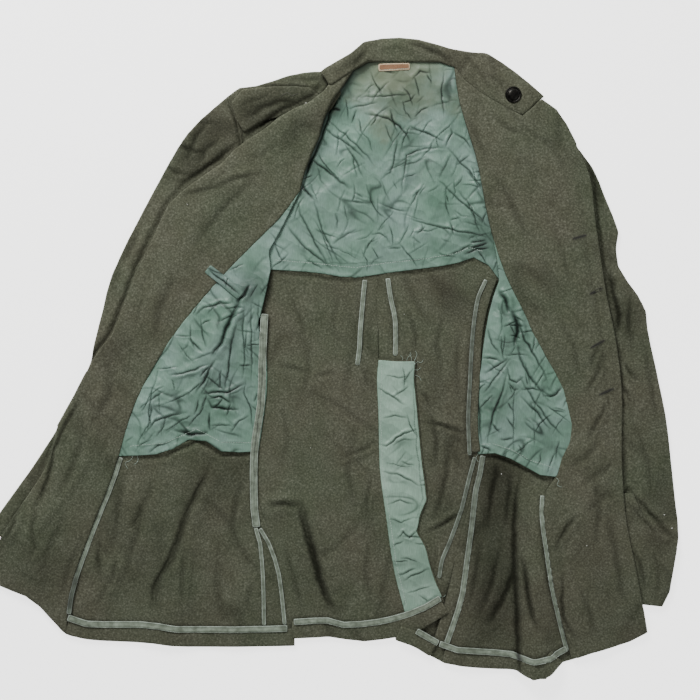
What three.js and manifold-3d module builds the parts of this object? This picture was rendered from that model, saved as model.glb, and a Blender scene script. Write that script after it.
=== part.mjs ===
// A military dress jacket laid open on a flat surface, inside up.
// The back and the sleeves lie on the surface, and both fronts are turned out over the sleeves.
// Millimetres, +Z up, X across the jacket, Y from the hem to the collar.
// Every cut piece is a wall of cloth laid in sewing order on what is already there.

import * as THREE from "three";
import { mergeVertices } from "three/addons/utils/BufferGeometryUtils.js";
import Module from "manifold-3d";

const wasm = await Module();
wasm.setup();

// Driving sizes
const woolThickness = 2;
const satinThickness = 1;
const tapeThickness = 1;
const seamGap = 0.3;
const sleeveRise = 3.2;
const sleeveRiseMargin = 26;
const cellWidth = 27;
const cellLength = 36;
const edgeStep = 24;
const studRadius = 11;
const studHeight = 4;
const studEdge = 1.2;
const studSteps = 4;
const studCentre = { x: 243, y: 356 };

// Working sizes of the laying method
const reach = { x: 480, y: 448 };
const probeStep = 3;
const belowFloor = -1;
const aboveAll = 70;
const probeShift = { x: 0.37, y: 0.41 };

// Seam and edge lines seen from above. Each row is a point: x, y.
const lines = {
  shoulderTopLeft: [[-143, 352], [-132, 363], [-98, 368], [-50, 383], [-5, 386], [2, 380]],
  headSeamTop: [[-143, 352], [-128, 320], [-122, 285], [-118, 250]],
  headSeamLow: [[-118, 250], [-108, 200], [-98, 160], [-86, 145]],
  neckLeft: [[2, 380], [25, 398], [50, 404], [95, 405]],
  neckRight: [[95, 405], [140, 406], [165, 398]],
  shoulderTopRight: [[165, 398], [225, 366], [285, 330]],
  armholeRight: [[285, 330], [262, 285], [250, 230], [238, 170], [224, 105]],
  centreSeam: [[95, 405], [80, 300], [66, 180], [60, 110], [61, 0]],

  sleeveOuterLeft: [[-143, 352], [-196, 302], [-241, 225], [-280, 150], [-300, 105], [-307, 75], [-320, 25],
    [-326, -5], [-345, -50], [-373, -98], [-400, -140], [-425, -175], [-463, -228]],
  cuffEndLeft: [[-463, -228], [-352, -306]],
  sleeveInnerLeft: [[-352, -306], [-300, -245], [-250, -180], [-205, -90], [-165, -10], [-130, 50],
    [-102, 110], [-86, 145]],
  sleeveOuterRight: [[285, 330], [330, 283], [350, 255], [366, 217], [384, 170], [380, 138], [391, 112],
    [410, 86], [421, 64], [424, 35], [437, -25], [448, -80], [454, -130], [460, -185], [465, -235],
    [460, -270], [451, -320], [443, -333]],
  cuffEndRight: [[443, -333], [312, -318]],
  sleeveInnerRight: [[312, -318], [300, -240], [282, -120], [260, 0], [240, 75], [224, 105]],

  frontEdgeLeft: [[2, 378], [-22, 350], [-55, 333], [-75, 322], [-100, 303], [-125, 288], [-150, 262],
    [-175, 245], [-207, 221], [-222, 205], [-240, 167], [-262, 120], [-285, 60], [-297, 32], [-312, 14],
    [-326, -8], [-349, -52], [-371, -92], [-376, -120], [-388, -150], [-418, -195], [-440, -228],
    [-466, -278]],
  hemCornerLeft: [[-466, -278], [-462, -296], [-450, -307], [-425, -313], [-400, -328], [-375, -354],
    [-360, -370]],
  hemFrontLeft: [[-360, -370], [-325, -378], [-250, -382], [-200, -387], [-100, -387], [-52, -386]],
  sideLeftUpper: [[-86, 145], [-84, 122], [-94, 75], [-101, 50], [-91, 10], [-90, -45], [-101, -124]],
  sideLeftLower: [[-101, -124], [-99, -198], [-88, -225], [-76, -268], [-60, -350], [-54, -376]],
  facingLeftUpper: [[27, 388], [10, 362], [-8, 335], [-20, 295], [-35, 262], [-45, 226]],
  armpitLeft: [[-45, 226], [-65, 185], [-86, 145]],
  facingLeftMiddle: [[-45, 226], [-70, 192], [-125, 136], [-165, 93], [-200, 50], [-235, 0], [-262, -50],
    [-275, -85], [-288, -130]],
  facingLeftLower: [[-288, -130], [-300, -168], [-323, -225], [-350, -300], [-360, -370]],
  liningHemLeft: [[-288, -130], [-262, -129], [-225, -125], [-183, -105], [-150, -124], [-101, -124]],

  hemBackLeft: [[-54, -376], [-25, -375], [5, -374], [30, -380], [60, -378], [100, -371], [120, -364],
    [140, -350], [155, -341]],
  flapEdge: [[112, -3], [110, -20], [115, -75], [121, -140], [127, -185], [124, -200], [113, -227],
    [126, -255], [131, -275], [141, -305], [155, -341]],
  underlapEdge: [[61, 0], [68, -150], [75, -300], [85, -378]],
  ventTop: [[62, -2], [86, -4], [110, -4]],
  flapStrip: [[110, -4], [108, -20], [113, -75], [119, -140], [125, -185], [122, -200], [111, -227],
    [124, -255], [129, -275], [139, -305], [146, -320]],
  ventHem: [[98, -343], [122, -334], [146, -320]],
  ventInner: [[62, -2], [60, -25], [62, -75], [64, -150], [72, -210], [82, -280], [98, -343]],
  hemBackRight: [[85, -378], [100, -382], [130, -399]],
  sideRightUpper: [[224, 105], [213, 72], [204, 25], [199, -20], [191, -60], [192, -100], [196, -128]],
  sideRightLower: [[196, -128], [186, -182], [172, -240], [156, -310], [130, -399]],

  lapelTopRight: [[255, 327], [268, 338], [281, 349]],
  frontEdgeRight: [[281, 349], [299, 337], [318, 308], [334, 272], [347, 240], [352, 190], [366, 95],
    [380, 25], [388, -45], [388, -140], [393, -215], [407, -285], [423, -368]],
  hemFacingRight: [[423, -368], [400, -380], [375, -388], [340, -398], [322, -405]],
  hemFrontRight: [[322, -405], [298, -412], [290, -425], [277, -430], [262, -427], [250, -418], [215, -417],
    [180, -414], [155, -411], [130, -399]],
  hemStripRight: [[308, -408], [298, -412], [290, -425], [277, -430], [262, -427], [250, -418], [215, -417],
    [180, -414], [155, -411], [148, -408]],
  gorgeRight: [[164, 393], [180, 373], [200, 358], [225, 343], [255, 327]],
  facingRightUpper: [[164, 393], [170, 350], [184, 302], [195, 265], [207, 200], [217, 160]],
  armpitRight: [[217, 160], [222, 130], [224, 105]],
  facingRightMiddle: [[217, 160], [232, 115], [262, 50], [287, 0], [307, -35], [318, -75], [321, -105],
    [309, -130], [300, -158]],
  facingRightLower: [[300, -158], [285, -182], [283, -215], [290, -265], [296, -305], [307, -350],
    [322, -405]],
  liningHemRight: [[196, -128], [215, -126], [240, -134], [265, -148], [285, -158], [300, -158]],

  collarOuter: [[-4, 366], [-16, 388], [15, 403], [45, 427], [75, 431], [105, 431], [150, 420], [172, 414],
    [205, 412], [225, 401], [250, 383], [284, 354]],
  collarEnd: [[284, 354], [270, 341], [255, 327]],
  collarNeck: [[27, 388], [-4, 366]],

  liningNeck: [[27, 388], [48, 400], [105, 400], [145, 400], [158, 399], [164, 393]],
  liningBackRight: [[164, 393], [182, 350], [205, 270], [218, 200], [227, 155], [224, 108]],
  liningBackHem: [[224, 108], [213, 124], [200, 132], [185, 138], [165, 129], [125, 123], [70, 116],
    [30, 110], [5, 112], [-25, 117], [-84, 121]],
  liningBackLeft: [[-84, 121], [-92, 160], [-75, 200], [-55, 250], [-38, 300], [-18, 345], [27, 388]],

  shoulderUnderEdge: [[2, 380], [8, 350], [-50, 296], [-118, 250]],
  lapelUnderEdge: [[-207, 221], [-160, 212], [-110, 236], [-60, 275], [-20, 318], [4, 355], [2, 378]],
  rollLine: [[2, 378], [-22, 350], [-55, 333], [-100, 303], [-125, 288], [-150, 262], [-175, 245],
    [-207, 221]],
  strapUpper: [[-136, 345], [-126, 360], [-98, 364], [-60, 366], [-24, 362], [-14, 350]],
  strapLower: [[-14, 350], [-38, 334], [-90, 321], [-110, 313], [-124, 306], [-136, 345]],
  cuffPointRight: [[464, -246], [450, -240], [425, -222], [405, -190], [398, -175], [350, -215], [303, -262]],
  cuffOuterRight: [[443, -333], [451, -320], [460, -270], [464, -246]],
  cuffInnerRight: [[303, -262], [312, -318]],
};

// Folds laid in a piece: where the ridge starts and ends, its height there, and its full width.
const folds = {
  back_left: [
    { from: [-18, -190], to: [16, -345], start: 3, end: 9, width: 60 },
    { from: [-84, -188], to: [-40, -190], start: 5, end: 2, width: 56 },
    { from: [-80, 6], to: [-24, -10], start: 4, end: 2, width: 56 },
  ],
  back_right: [
    { from: [150, -60], to: [158, -190], start: 3, end: 6, width: 60 },
  ],
  front_left_shoulder: [
    { from: [-112, 330], to: [-40, 345], start: 6, end: 9, width: 64 },
  ],
  front_left: [
    { from: [-140, -120], to: [-222, -360], start: 3, end: 11, width: 72 },
    { from: [-300, -60], to: [-402, -270], start: 3, end: 8, width: 84 },
    { from: [-112, -150], to: [-128, -360], start: 2, end: 6, width: 64 },
    { from: [-180, 200], to: [-250, 40], start: 5, end: 3, width: 80 },
  ],
  front_right: [
    { from: [272, -140], to: [276, -440], start: 4, end: 24, width: 66 },
    { from: [345, -120], to: [352, -380], start: 3, end: 8, width: 80 },
    { from: [205, -180], to: [182, -400], start: 3, end: 8, width: 64 },
    { from: [300, 200], to: [340, 20], start: 4, end: 4, width: 90 },
  ],
  lining_front_left: [
    { from: [-112, 96], to: [-196, -60], start: 9, end: 7, width: 56 },
    { from: [-190, 40], to: [-250, -110], start: 4, end: 6, width: 56 },
    { from: [-128, -40], to: [-140, -130], start: 5, end: 3, width: 56 },
  ],
  lining_front_right: [
    { from: [236, 70], to: [220, -110], start: 8, end: 8, width: 56 },
    { from: [268, 10], to: [286, -150], start: 5, end: 7, width: 56 },
  ],
  lining_back: [
    { from: [-40, 190], to: [40, 250], start: 3, end: 5, width: 64 },
    { from: [10, 150], to: [60, 330], start: 2, end: 4, width: 64 },
    { from: [110, 140], to: [150, 320], start: 3, end: 4, width: 64 },
    { from: [180, 150], to: [196, 240], start: 5, end: 3, width: 60 },
  ],
  collar: [
    { from: [30, 420], to: [166, 402], start: 4, end: 5, width: 60 },
  ],
};

// Narrow strips: the line they follow, their width, and how far they stand to the left of that line.
const strips = {
  tape_side_left: { width: 9, shift: 0, rows: [[-92, 60], [-95, 0], [-97, -60], [-106, -125], [-106, -198],
    [-103, -226]] },
  tape_side_left_front: { width: 4, shift: 0, rows: [[-104, -228], [-98, -250], [-94, -300], [-93, -359]] },
  tape_side_left_back: { width: 4, shift: 0, rows: [[-98, -229], [-86, -250], [-73, -290], [-65, -358]] },
  tape_centre_left: { width: 5, shift: 0, rows: [[43, 106], [40, 75], [36, 25], [36, 0], [33, -8]] },
  tape_centre_right: { width: 5, shift: 0, rows: [[74, 108], [75, 95], [84, 50], [84, 5]] },
  allowance_side_right: { width: 14, shift: 0, rows: [[214, 108], [204, 80], [197, 50], [193, 20], [191, -20],
    [188, -60], [188, -100], [191, -125]] },
  tape_side_right_upper: { width: 4, shift: 0, rows: [[206, 106], [195, 80], [189, 40], [186, 0], [184, -40],
    [182, -80], [184, -129]] },
  tape_side_right_front: { width: 6, shift: 0, rows: [[202, -131], [198, -155], [192, -180], [187, -225],
    [180, -275], [172, -325], [153, -382]] },
  tape_side_right_back: { width: 4, shift: 0, rows: [[191, -133], [181, -170], [174, -200], [158, -245],
    [146, -275], [143, -295]] },
  tape_facing_left: { width: 5, shift: 3, rows: [[-288, -132], [-300, -168], [-323, -225], [-350, -300],
    [-358, -342]] },
  tape_facing_right: { width: 4.5, shift: -3, rows: [[284, -184], [283, -215], [290, -265],
    [296, -305], [307, -350], [318, -392]] },
  tape_hem_front_left: { width: 7.5, shift: 0, rows: [[-356, -348], [-325, -357], [-250, -358], [-200, -364],
    [-100, -364], [-62, -363]] },
  tape_hem_back_left: { width: 7, shift: 0, rows: [[-52, -354], [0, -352], [18, -358], [60, -354],
    [100, -344], [130, -331], [144, -322]] },
  tape_hem_back_right: { width: 7, shift: 0, rows: [[113, -366], [125, -371], [141, -382]] },
  tape_hem_front_right: { width: 7, shift: 0, rows: [[144, -383], [160, -390], [205, -394], [250, -399],
    [270, -405], [296, -400], [314, -390]] },
  loop_tab: { width: 12, shift: 0, rows: [[-168, 121], [-146, 104], [-124, 85]] },
};

// Hems turned up inside: the outer line of each, and its height.
const turnedHems = {
  hem_front_left: { along: "hemFrontLeft", height: 22 },
  hem_back_left: { along: "hemBackLeft", height: 22 },
  hem_back_right: { along: "hemBackRight", height: 20 },
  hem_front_right: { along: "hemStripRight", height: 22 },
};

const melton = { colour: 0x585a4c, roughness: 0.95, thickness: woolThickness };
const meltonShade = { colour: 0x4c4e41, roughness: 0.95, thickness: woolThickness };
const satin = { colour: 0x7a9288, roughness: 0.45, thickness: satinThickness };
const ventSatin = { colour: 0x8da499, roughness: 0.4, thickness: satinThickness };
const binding = { colour: 0x94a08f, roughness: 0.7, thickness: tapeThickness };
const blackenedMetal = { colour: 0x1d1d1b, roughness: 0.4, metalness: 0.8 };
const labelCloth = { colour: 0xa0886c, roughness: 0.8, thickness: 0.8 };

// The pieces in the order they are laid. A minus before a line's name runs it backwards.
const pieces = [
  {
    name: "sleeve_left_under", cloth: melton, flat: true,
    outline: [
      "-headSeamLow", "-headSeamTop", "sleeveOuterLeft", "cuffEndLeft", "sleeveInnerLeft",
    ],
  },
  {
    name: "sleeve_right_under", cloth: melton, flat: true,
    outline: [
      "sleeveOuterRight", "cuffEndRight", "sleeveInnerRight", "-armholeRight",
    ],
  },
  {
    name: "sleeve_left_upper", cloth: melton, rise: sleeveRise,
    outline: [
      "-headSeamLow", "-headSeamTop", "sleeveOuterLeft", "cuffEndLeft", "sleeveInnerLeft",
    ],
  },
  {
    name: "sleeve_right_upper", cloth: melton, rise: sleeveRise,
    outline: [
      "sleeveOuterRight", "cuffEndRight", "sleeveInnerRight", "-armholeRight",
    ],
  },
  {
    name: "cuff_right", cloth: melton,
    outline: [
      "cuffOuterRight", "cuffPointRight", "cuffInnerRight",
    ],
  },
  {
    name: "back_right", cloth: meltonShade,
    outline: [
      "-centreSeam", "neckRight", "shoulderTopRight", "armholeRight", "sideRightUpper",
      "sideRightLower", "-hemBackRight", "-underlapEdge",
    ],
  },
  {
    name: "back_left", cloth: melton,
    outline: [
      "centreSeam", "flapEdge", "-hemBackLeft", "-sideLeftLower", "-sideLeftUpper",
      "-headSeamLow", "-headSeamTop", "shoulderTopLeft", "neckLeft",
    ],
  },
  {
    name: "lining_back", cloth: satin,
    outline: [
      "liningNeck", "liningBackRight", "liningBackHem", "liningBackLeft",
    ],
  },
  {
    name: "front_left_shoulder", cloth: melton,
    outline: [
      "shoulderTopLeft", "shoulderUnderEdge", "-headSeamTop",
    ],
  },
  { name: "shoulder_strap_left", cloth: melton, outline: ["strapUpper", "strapLower"] },
  { name: "lapel_left_turned", cloth: melton, outline: ["rollLine", "lapelUnderEdge"] },
  {
    name: "front_left", cloth: melton,
    outline: [
      "frontEdgeLeft", "hemCornerLeft", "hemFrontLeft", "-sideLeftLower", "-sideLeftUpper",
      "-armpitLeft", "-facingLeftUpper",
    ],
  },
  {
    name: "front_right", cloth: meltonShade,
    outline: [
      "gorgeRight", "lapelTopRight", "frontEdgeRight", "hemFacingRight", "hemFrontRight",
      "-sideRightLower", "-sideRightUpper", "-armpitRight", "-facingRightUpper",
    ],
  },
  {
    name: "lining_front_left", cloth: satin,
    outline: [
      "facingLeftMiddle", "liningHemLeft", "-sideLeftUpper", "-armpitLeft",
    ],
  },
  {
    name: "lining_front_right", cloth: satin,
    outline: [
      "facingRightMiddle", "-liningHemRight", "-sideRightUpper", "-armpitRight",
    ],
  },
  {
    name: "facing_left", cloth: melton,
    outline: [
      "frontEdgeLeft", "hemCornerLeft", "-facingLeftLower", "-facingLeftMiddle",
      "-facingLeftUpper",
    ],
  },
  {
    name: "facing_right", cloth: melton,
    outline: [
      "gorgeRight", "lapelTopRight", "frontEdgeRight", "hemFacingRight", "-facingRightLower",
      "-facingRightMiddle", "-facingRightUpper",
    ],
  },
  {
    name: "collar", cloth: melton,
    outline: [
      "collarOuter", "collarEnd", "-gorgeRight", "-liningNeck", "collarNeck",
    ],
  },
  {
    name: "vent_facing", cloth: ventSatin,
    outline: [
      "ventTop", "flapStrip", "-ventHem", "-ventInner",
    ],
  },
];

// Everything below works the pieces out from the tables above.

const columns = Math.ceil(2 * reach.x / cellWidth) + 1;
const rows = Math.ceil(2 * reach.y / cellLength) + 1;
const nodeX = (i) => -reach.x + i * cellWidth;
const nodeY = (j) => -reach.y + j * cellLength;
const nodeIndex = (i, j) => j * columns + i;
const cellCorners = (i, j) => [
  nodeIndex(i, j), nodeIndex(i + 1, j), nodeIndex(i, j + 1), nodeIndex(i + 1, j + 1),
];

const probeColumns = Math.ceil(2 * reach.x / probeStep) + 1;
const probeRows = Math.ceil(2 * reach.y / probeStep) + 1;
const probeX = (i) => -reach.x + (i + probeShift.x) * probeStep;
const probeY = (j) => -reach.y + (j + probeShift.y) * probeStep;

// A line through its rows, smooth, with a point about every edgeStep.
function smoothLine(points) {
  const curve = new THREE.SplineCurve(points.map(([x, y]) => new THREE.Vector2(x, y)));
  const count = Math.max(1, Math.round(curve.getLength() / edgeStep));
  return curve.getSpacedPoints(points.length === 2 ? 1 : count);
}

const smoothed = {};
for (const [name, points] of Object.entries(lines)) smoothed[name] = smoothLine(points);

function namedLine(name) {
  return name.startsWith("-") ? [...smoothed[name.slice(1)]].reverse() : smoothed[name];
}

// Joins lines end to end and drops the doubled corners.
function joinLines(parts) {
  const points = [];
  for (const part of parts) {
    for (const point of part) {
      const last = points[points.length - 1];
      if (!last || last.distanceTo(point) > 2) points.push(point.clone());
    }
  }
  while (points[0].distanceTo(points[points.length - 1]) <= 2) points.pop();
  return points;
}

function sideways(points, i, closed) {
  const last = points.length - 1;
  const before = points[closed ? (i + last) % points.length : Math.max(0, i - 1)];
  const after = points[closed ? (i + 1) % points.length : Math.min(last, i + 1)];
  const along = after.clone().sub(before).normalize();
  return new THREE.Vector2(-along.y, along.x);
}

// A line moved to its left by a distance.
function offsetLine(points, distance) {
  return points.map((point, i) => point.clone().addScaledVector(sideways(points, i, false), distance));
}

// An outline drawn in by half a seam gap, so that neighbours stand a whole gap apart.
function drawIn(points) {
  const inward = THREE.ShapeUtils.isClockWise(points) ? -1 : 1;
  return points.map((point, i) => {
    const before = points[(i + points.length - 1) % points.length];
    const after = points[(i + 1) % points.length];
    const a = point.clone().sub(before).normalize();
    const b = after.clone().sub(point).normalize();
    const bisector = new THREE.Vector2(-a.y - b.y, a.x + b.x);
    const size = bisector.length();
    if (size < 0.2) return point.clone();
    const miter = Math.min(3, 2 / size);
    return point.clone().addScaledVector(bisector.divideScalar(size), inward * miter * seamGap / 2);
  });
}

function stripOutline({ rows: points, width, shift }) {
  const middle = smoothLine(points);
  const left = offsetLine(middle, shift + width / 2);
  const right = offsetLine(middle, shift - width / 2);
  return [...left, ...right.reverse()];
}

function hemOutline({ along, height }) {
  const edge = smoothed[along];
  const up = sideways(edge, Math.floor(edge.length / 2), false).y > 0 ? 1 : -1;
  return [...edge.map((point) => point.clone()), ...offsetLine(edge, up * height).reverse()];
}

// Which probe points lie inside an outline, found line by line.
function probeMask(outline) {
  const mask = new Uint8Array(probeColumns * probeRows);
  for (let j = 0; j < probeRows; j++) {
    const y = probeY(j);
    const crossings = [];
    outline.forEach((a, k) => {
      const b = outline[(k + 1) % outline.length];
      if ((a.y > y) !== (b.y > y)) crossings.push(a.x + (y - a.y) * (b.x - a.x) / (b.y - a.y));
    });
    crossings.sort((p, q) => p - q);
    for (let c = 0; c + 1 < crossings.length; c += 2) {
      const first = Math.ceil((crossings[c] + reach.x) / probeStep - probeShift.x);
      const last = Math.floor((crossings[c + 1] + reach.x) / probeStep - probeShift.x);
      for (let i = Math.max(0, first); i <= Math.min(probeColumns - 1, last); i++) {
        mask[j * probeColumns + i] = 1;
      }
    }
  }
  return mask;
}

// Whether two pieces cover the same ground in a cell or close round it.
function shareCell(maskA, maskB, i, j) {
  const firstI = Math.max(0, Math.floor((nodeX(i) + reach.x) / probeStep) - 1);
  const lastI = Math.min(probeColumns - 1, Math.ceil((nodeX(i + 1) + reach.x) / probeStep) + 1);
  const firstJ = Math.max(0, Math.floor((nodeY(j) + reach.y) / probeStep) - 1);
  const lastJ = Math.min(probeRows - 1, Math.ceil((nodeY(j + 1) + reach.y) / probeStep) + 1);
  for (let q = firstJ; q <= lastJ; q++) {
    for (let p = firstI; p <= lastI; p++) {
      if (maskA[q * probeColumns + p] && maskB[q * probeColumns + p]) return true;
    }
  }
  return false;
}

function distanceToSegment(x, y, a, b) {
  const dx = b.x - a.x;
  const dy = b.y - a.y;
  const t = THREE.MathUtils.clamp(((x - a.x) * dx + (y - a.y) * dy) / (dx * dx + dy * dy || 1), 0, 1);
  return { distance: Math.hypot(x - a.x - t * dx, y - a.y - t * dy), t };
}

// How far inside an outline a point lies, or 0 outside it.
function depthInside(outline, x, y) {
  let inside = false;
  let depth = Infinity;
  outline.forEach((a, k) => {
    const b = outline[(k + 1) % outline.length];
    if ((a.y > y) !== (b.y > y) && x < a.x + (y - a.y) * (b.x - a.x) / (b.y - a.y)) inside = !inside;
    depth = Math.min(depth, distanceToSegment(x, y, a, b).distance);
  });
  return inside ? depth : 0;
}

// Height that the folds of a piece add at a point: soft ridges, highest on their line.
function foldHeight(name, x, y) {
  let height = 0;
  for (const fold of folds[name] ?? []) {
    const a = { x: fold.from[0], y: fold.from[1] };
    const b = { x: fold.to[0], y: fold.to[1] };
    const { distance, t } = distanceToSegment(x, y, a, b);
    const share = Math.min(1, distance / (fold.width / 2));
    const ridge = THREE.MathUtils.lerp(fold.start, fold.end, t) * Math.cos(share * Math.PI / 2) ** 2;
    height = Math.max(height, ridge);
  }
  return height;
}

// Lays a piece on those already laid, and gives its underside and top at the lattice points.
function layCloth(piece, outline, mask, laid) {
  const support = new Float64Array(columns * rows).fill(-Infinity);
  for (const other of laid) {
    for (let j = 0; j + 1 < rows; j++) {
      for (let i = 0; i + 1 < columns; i++) {
        if (!shareCell(mask, other.mask, i, j)) continue;
        for (const k of cellCorners(i, j)) support[k] = Math.max(support[k], other.top[k]);
      }
    }
  }
  const under = new Float64Array(columns * rows);
  const top = new Float64Array(columns * rows);
  for (let j = 0; j < rows; j++) {
    for (let i = 0; i < columns; i++) {
      const k = nodeIndex(i, j);
      const rest = support[k] > 0 ? support[k] + seamGap : 0;
      const depth = piece.rise ? depthInside(outline, nodeX(i), nodeY(j)) : 0;
      const rise = (piece.rise ?? 0) * Math.min(1, depth / sleeveRiseMargin);
      const height = rest + rise + foldHeight(piece.name, nodeX(i), nodeY(j));
      under[k] = height > 0 ? height : belowFloor;
      top[k] = height + piece.cloth.thickness;
    }
  }
  return { under, top };
}

function solidOf(geometry) {
  geometry.deleteAttribute("normal");
  geometry.deleteAttribute("uv");
  const merged = mergeVertices(geometry, 1e-4);
  return new wasm.Manifold(new wasm.Mesh({
    numProp: 3,
    vertProperties: new Float32Array(merged.attributes.position.array),
    triVerts: new Uint32Array(merged.index.array),
  }));
}

function geometryOf(solid) {
  const mesh = solid.getMesh();
  const geometry = new THREE.BufferGeometry();
  geometry.setAttribute("position", new THREE.BufferAttribute(new Float32Array(mesh.vertProperties), 3));
  geometry.setIndex(new THREE.BufferAttribute(new Uint32Array(mesh.triVerts), 1));
  const flat = geometry.toNonIndexed();
  flat.computeVertexNormals();
  return flat;
}

// The slab between the underside and the top, over the cells round an outline.
function slabGeometry(outline, under, top) {
  const box = new THREE.Box2().setFromPoints(outline);
  const firstI = Math.floor((box.min.x + reach.x) / cellWidth);
  const lastI = Math.ceil((box.max.x + reach.x) / cellWidth);
  const firstJ = Math.floor((box.min.y + reach.y) / cellLength);
  const lastJ = Math.ceil((box.max.y + reach.y) / cellLength);
  const across = lastI - firstI + 1;
  const along = lastJ - firstJ + 1;
  const positions = [];
  for (const heights of [under, top]) {
    for (let j = firstJ; j <= lastJ; j++) {
      for (let i = firstI; i <= lastI; i++) positions.push(nodeX(i), nodeY(j), heights[nodeIndex(i, j)]);
    }
  }
  const low = (i, j) => j * across + i;
  const high = (i, j) => across * along + low(i, j);
  const index = [];
  for (let j = 0; j + 1 < along; j++) {
    for (let i = 0; i + 1 < across; i++) {
      index.push(high(i, j), high(i + 1, j), high(i + 1, j + 1));
      index.push(high(i, j), high(i + 1, j + 1), high(i, j + 1));
      index.push(low(i, j), low(i + 1, j + 1), low(i + 1, j));
      index.push(low(i, j), low(i, j + 1), low(i + 1, j + 1));
    }
  }
  const wall = (a, b) => index.push(low(...a), low(...b), high(...b), low(...a), high(...b), high(...a));
  for (let i = 0; i + 1 < across; i++) {
    wall([i, 0], [i + 1, 0]);
    wall([i + 1, along - 1], [i, along - 1]);
  }
  for (let j = 0; j + 1 < along; j++) {
    wall([across - 1, j], [across - 1, j + 1]);
    wall([0, j + 1], [0, j]);
  }
  const geometry = new THREE.BufferGeometry();
  geometry.setAttribute("position", new THREE.Float32BufferAttribute(positions, 3));
  geometry.setIndex(index);
  return geometry;
}

// A piece that lies flat is its outline with a thickness. Any other is that outline cut from its slab.
function clothGeometry(piece, outline, under, top) {
  const depth = piece.flat ? piece.cloth.thickness : aboveAll;
  const prism = new THREE.ExtrudeGeometry(new THREE.Shape(outline), { depth, bevelEnabled: false });
  if (piece.flat) return prism;
  return geometryOf(solidOf(slabGeometry(outline, under, top)).intersect(solidOf(prism)));
}

const jacket = new THREE.Group();

function addNode(name, cloth, geometry) {
  const { colour: color, roughness, metalness = 0 } = cloth;
  const material = new THREE.MeshStandardMaterial({ color, roughness, metalness });
  const mesh = new THREE.Mesh(geometry, material);
  mesh.name = name;
  jacket.add(mesh);
  return mesh;
}

const laid = [];

function layPiece(piece, points) {
  const outline = drawIn(points);
  const mask = probeMask(outline);
  const { under, top } = layCloth(piece, outline, mask, laid);
  laid.push({ name: piece.name, mask, top });
  addNode(piece.name, piece.cloth, clothGeometry(piece, outline, under, top));
}

for (const piece of pieces) layPiece(piece, joinLines(piece.outline.map(namedLine)));
for (const [name, hem] of Object.entries(turnedHems)) layPiece({ name, cloth: melton }, hemOutline(hem));
for (const [name, strip] of Object.entries(strips)) {
  layPiece({ name, cloth: name.startsWith("allowance") ? meltonShade : binding }, stripOutline(strip));
}

const labelOutline = [[62, 388], [103, 390], [103, 398], [62, 397]].map(([x, y]) => new THREE.Vector2(x, y));
layPiece({ name: "neck_label", cloth: labelCloth }, labelOutline);

// The stud on the collar: a plain domed disc that stands on the cloth under it.
function collarStud() {
  const collarPiece = laid.find((piece) => piece.name === "collar");
  const i = Math.floor((studCentre.x + reach.x) / cellWidth);
  const j = Math.floor((studCentre.y + reach.y) / cellLength);
  const around = [];
  for (let dj = -1; dj <= 2; dj++) {
    for (let di = -1; di <= 2; di++) around.push(collarPiece.top[nodeIndex(i + di, j + dj)]);
  }
  const profile = [new THREE.Vector2(0, 0), new THREE.Vector2(studRadius, 0)];
  for (let step = 0; step < studSteps; step++) {
    const angle = step / studSteps * Math.PI / 2;
    const height = studEdge + (studHeight - studEdge) * Math.sin(angle);
    profile.push(new THREE.Vector2(studRadius * Math.cos(angle), height));
  }
  profile.push(new THREE.Vector2(0, studHeight));
  const mesh = addNode("collar_stud", blackenedMetal, new THREE.LatheGeometry(profile, 20));
  mesh.rotation.x = Math.PI / 2;
  mesh.position.set(studCentre.x, studCentre.y, Math.max(...around) + seamGap);
}

collarStud();

export default jacket;
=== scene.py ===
import math

import bpy
import numpy as np
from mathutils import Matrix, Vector
from mathutils.geometry import delaunay_2d_cdt


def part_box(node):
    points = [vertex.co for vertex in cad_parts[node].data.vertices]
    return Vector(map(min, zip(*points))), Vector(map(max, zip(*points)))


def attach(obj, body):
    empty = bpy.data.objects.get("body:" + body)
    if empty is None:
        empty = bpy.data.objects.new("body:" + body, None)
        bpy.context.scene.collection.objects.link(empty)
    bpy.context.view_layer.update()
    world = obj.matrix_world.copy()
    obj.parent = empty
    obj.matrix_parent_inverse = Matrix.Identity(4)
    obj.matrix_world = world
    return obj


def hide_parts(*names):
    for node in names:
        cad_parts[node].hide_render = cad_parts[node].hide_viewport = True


# A wool dress jacket laid open, inside up. Lengths below are in millimetres until a mesh is made.
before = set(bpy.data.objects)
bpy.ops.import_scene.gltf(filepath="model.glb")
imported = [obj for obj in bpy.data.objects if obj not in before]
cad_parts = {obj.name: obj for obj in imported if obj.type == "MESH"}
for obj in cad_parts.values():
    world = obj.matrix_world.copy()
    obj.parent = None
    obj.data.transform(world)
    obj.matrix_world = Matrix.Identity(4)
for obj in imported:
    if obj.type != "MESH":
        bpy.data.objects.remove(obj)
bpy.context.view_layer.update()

MM = 0.001
BODY = "root"

# The camera looks straight down on the middle of the photograph's frame.
PICTURE_CENTRE = (23.0, 12.0)
PICTURE_WIDTH = 945.0
LENS = 85.0
SENSOR = 36.0

# The height map that every layer of cloth is laid on.
CELL = 1.5
HALF_X, HALF_Y = 486.0, 452.0
COLUMNS = int(2 * HALF_X / CELL) + 1
ROWS = int(2 * HALF_Y / CELL) + 1
ground = np.zeros((ROWS, COLUMNS))


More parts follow.
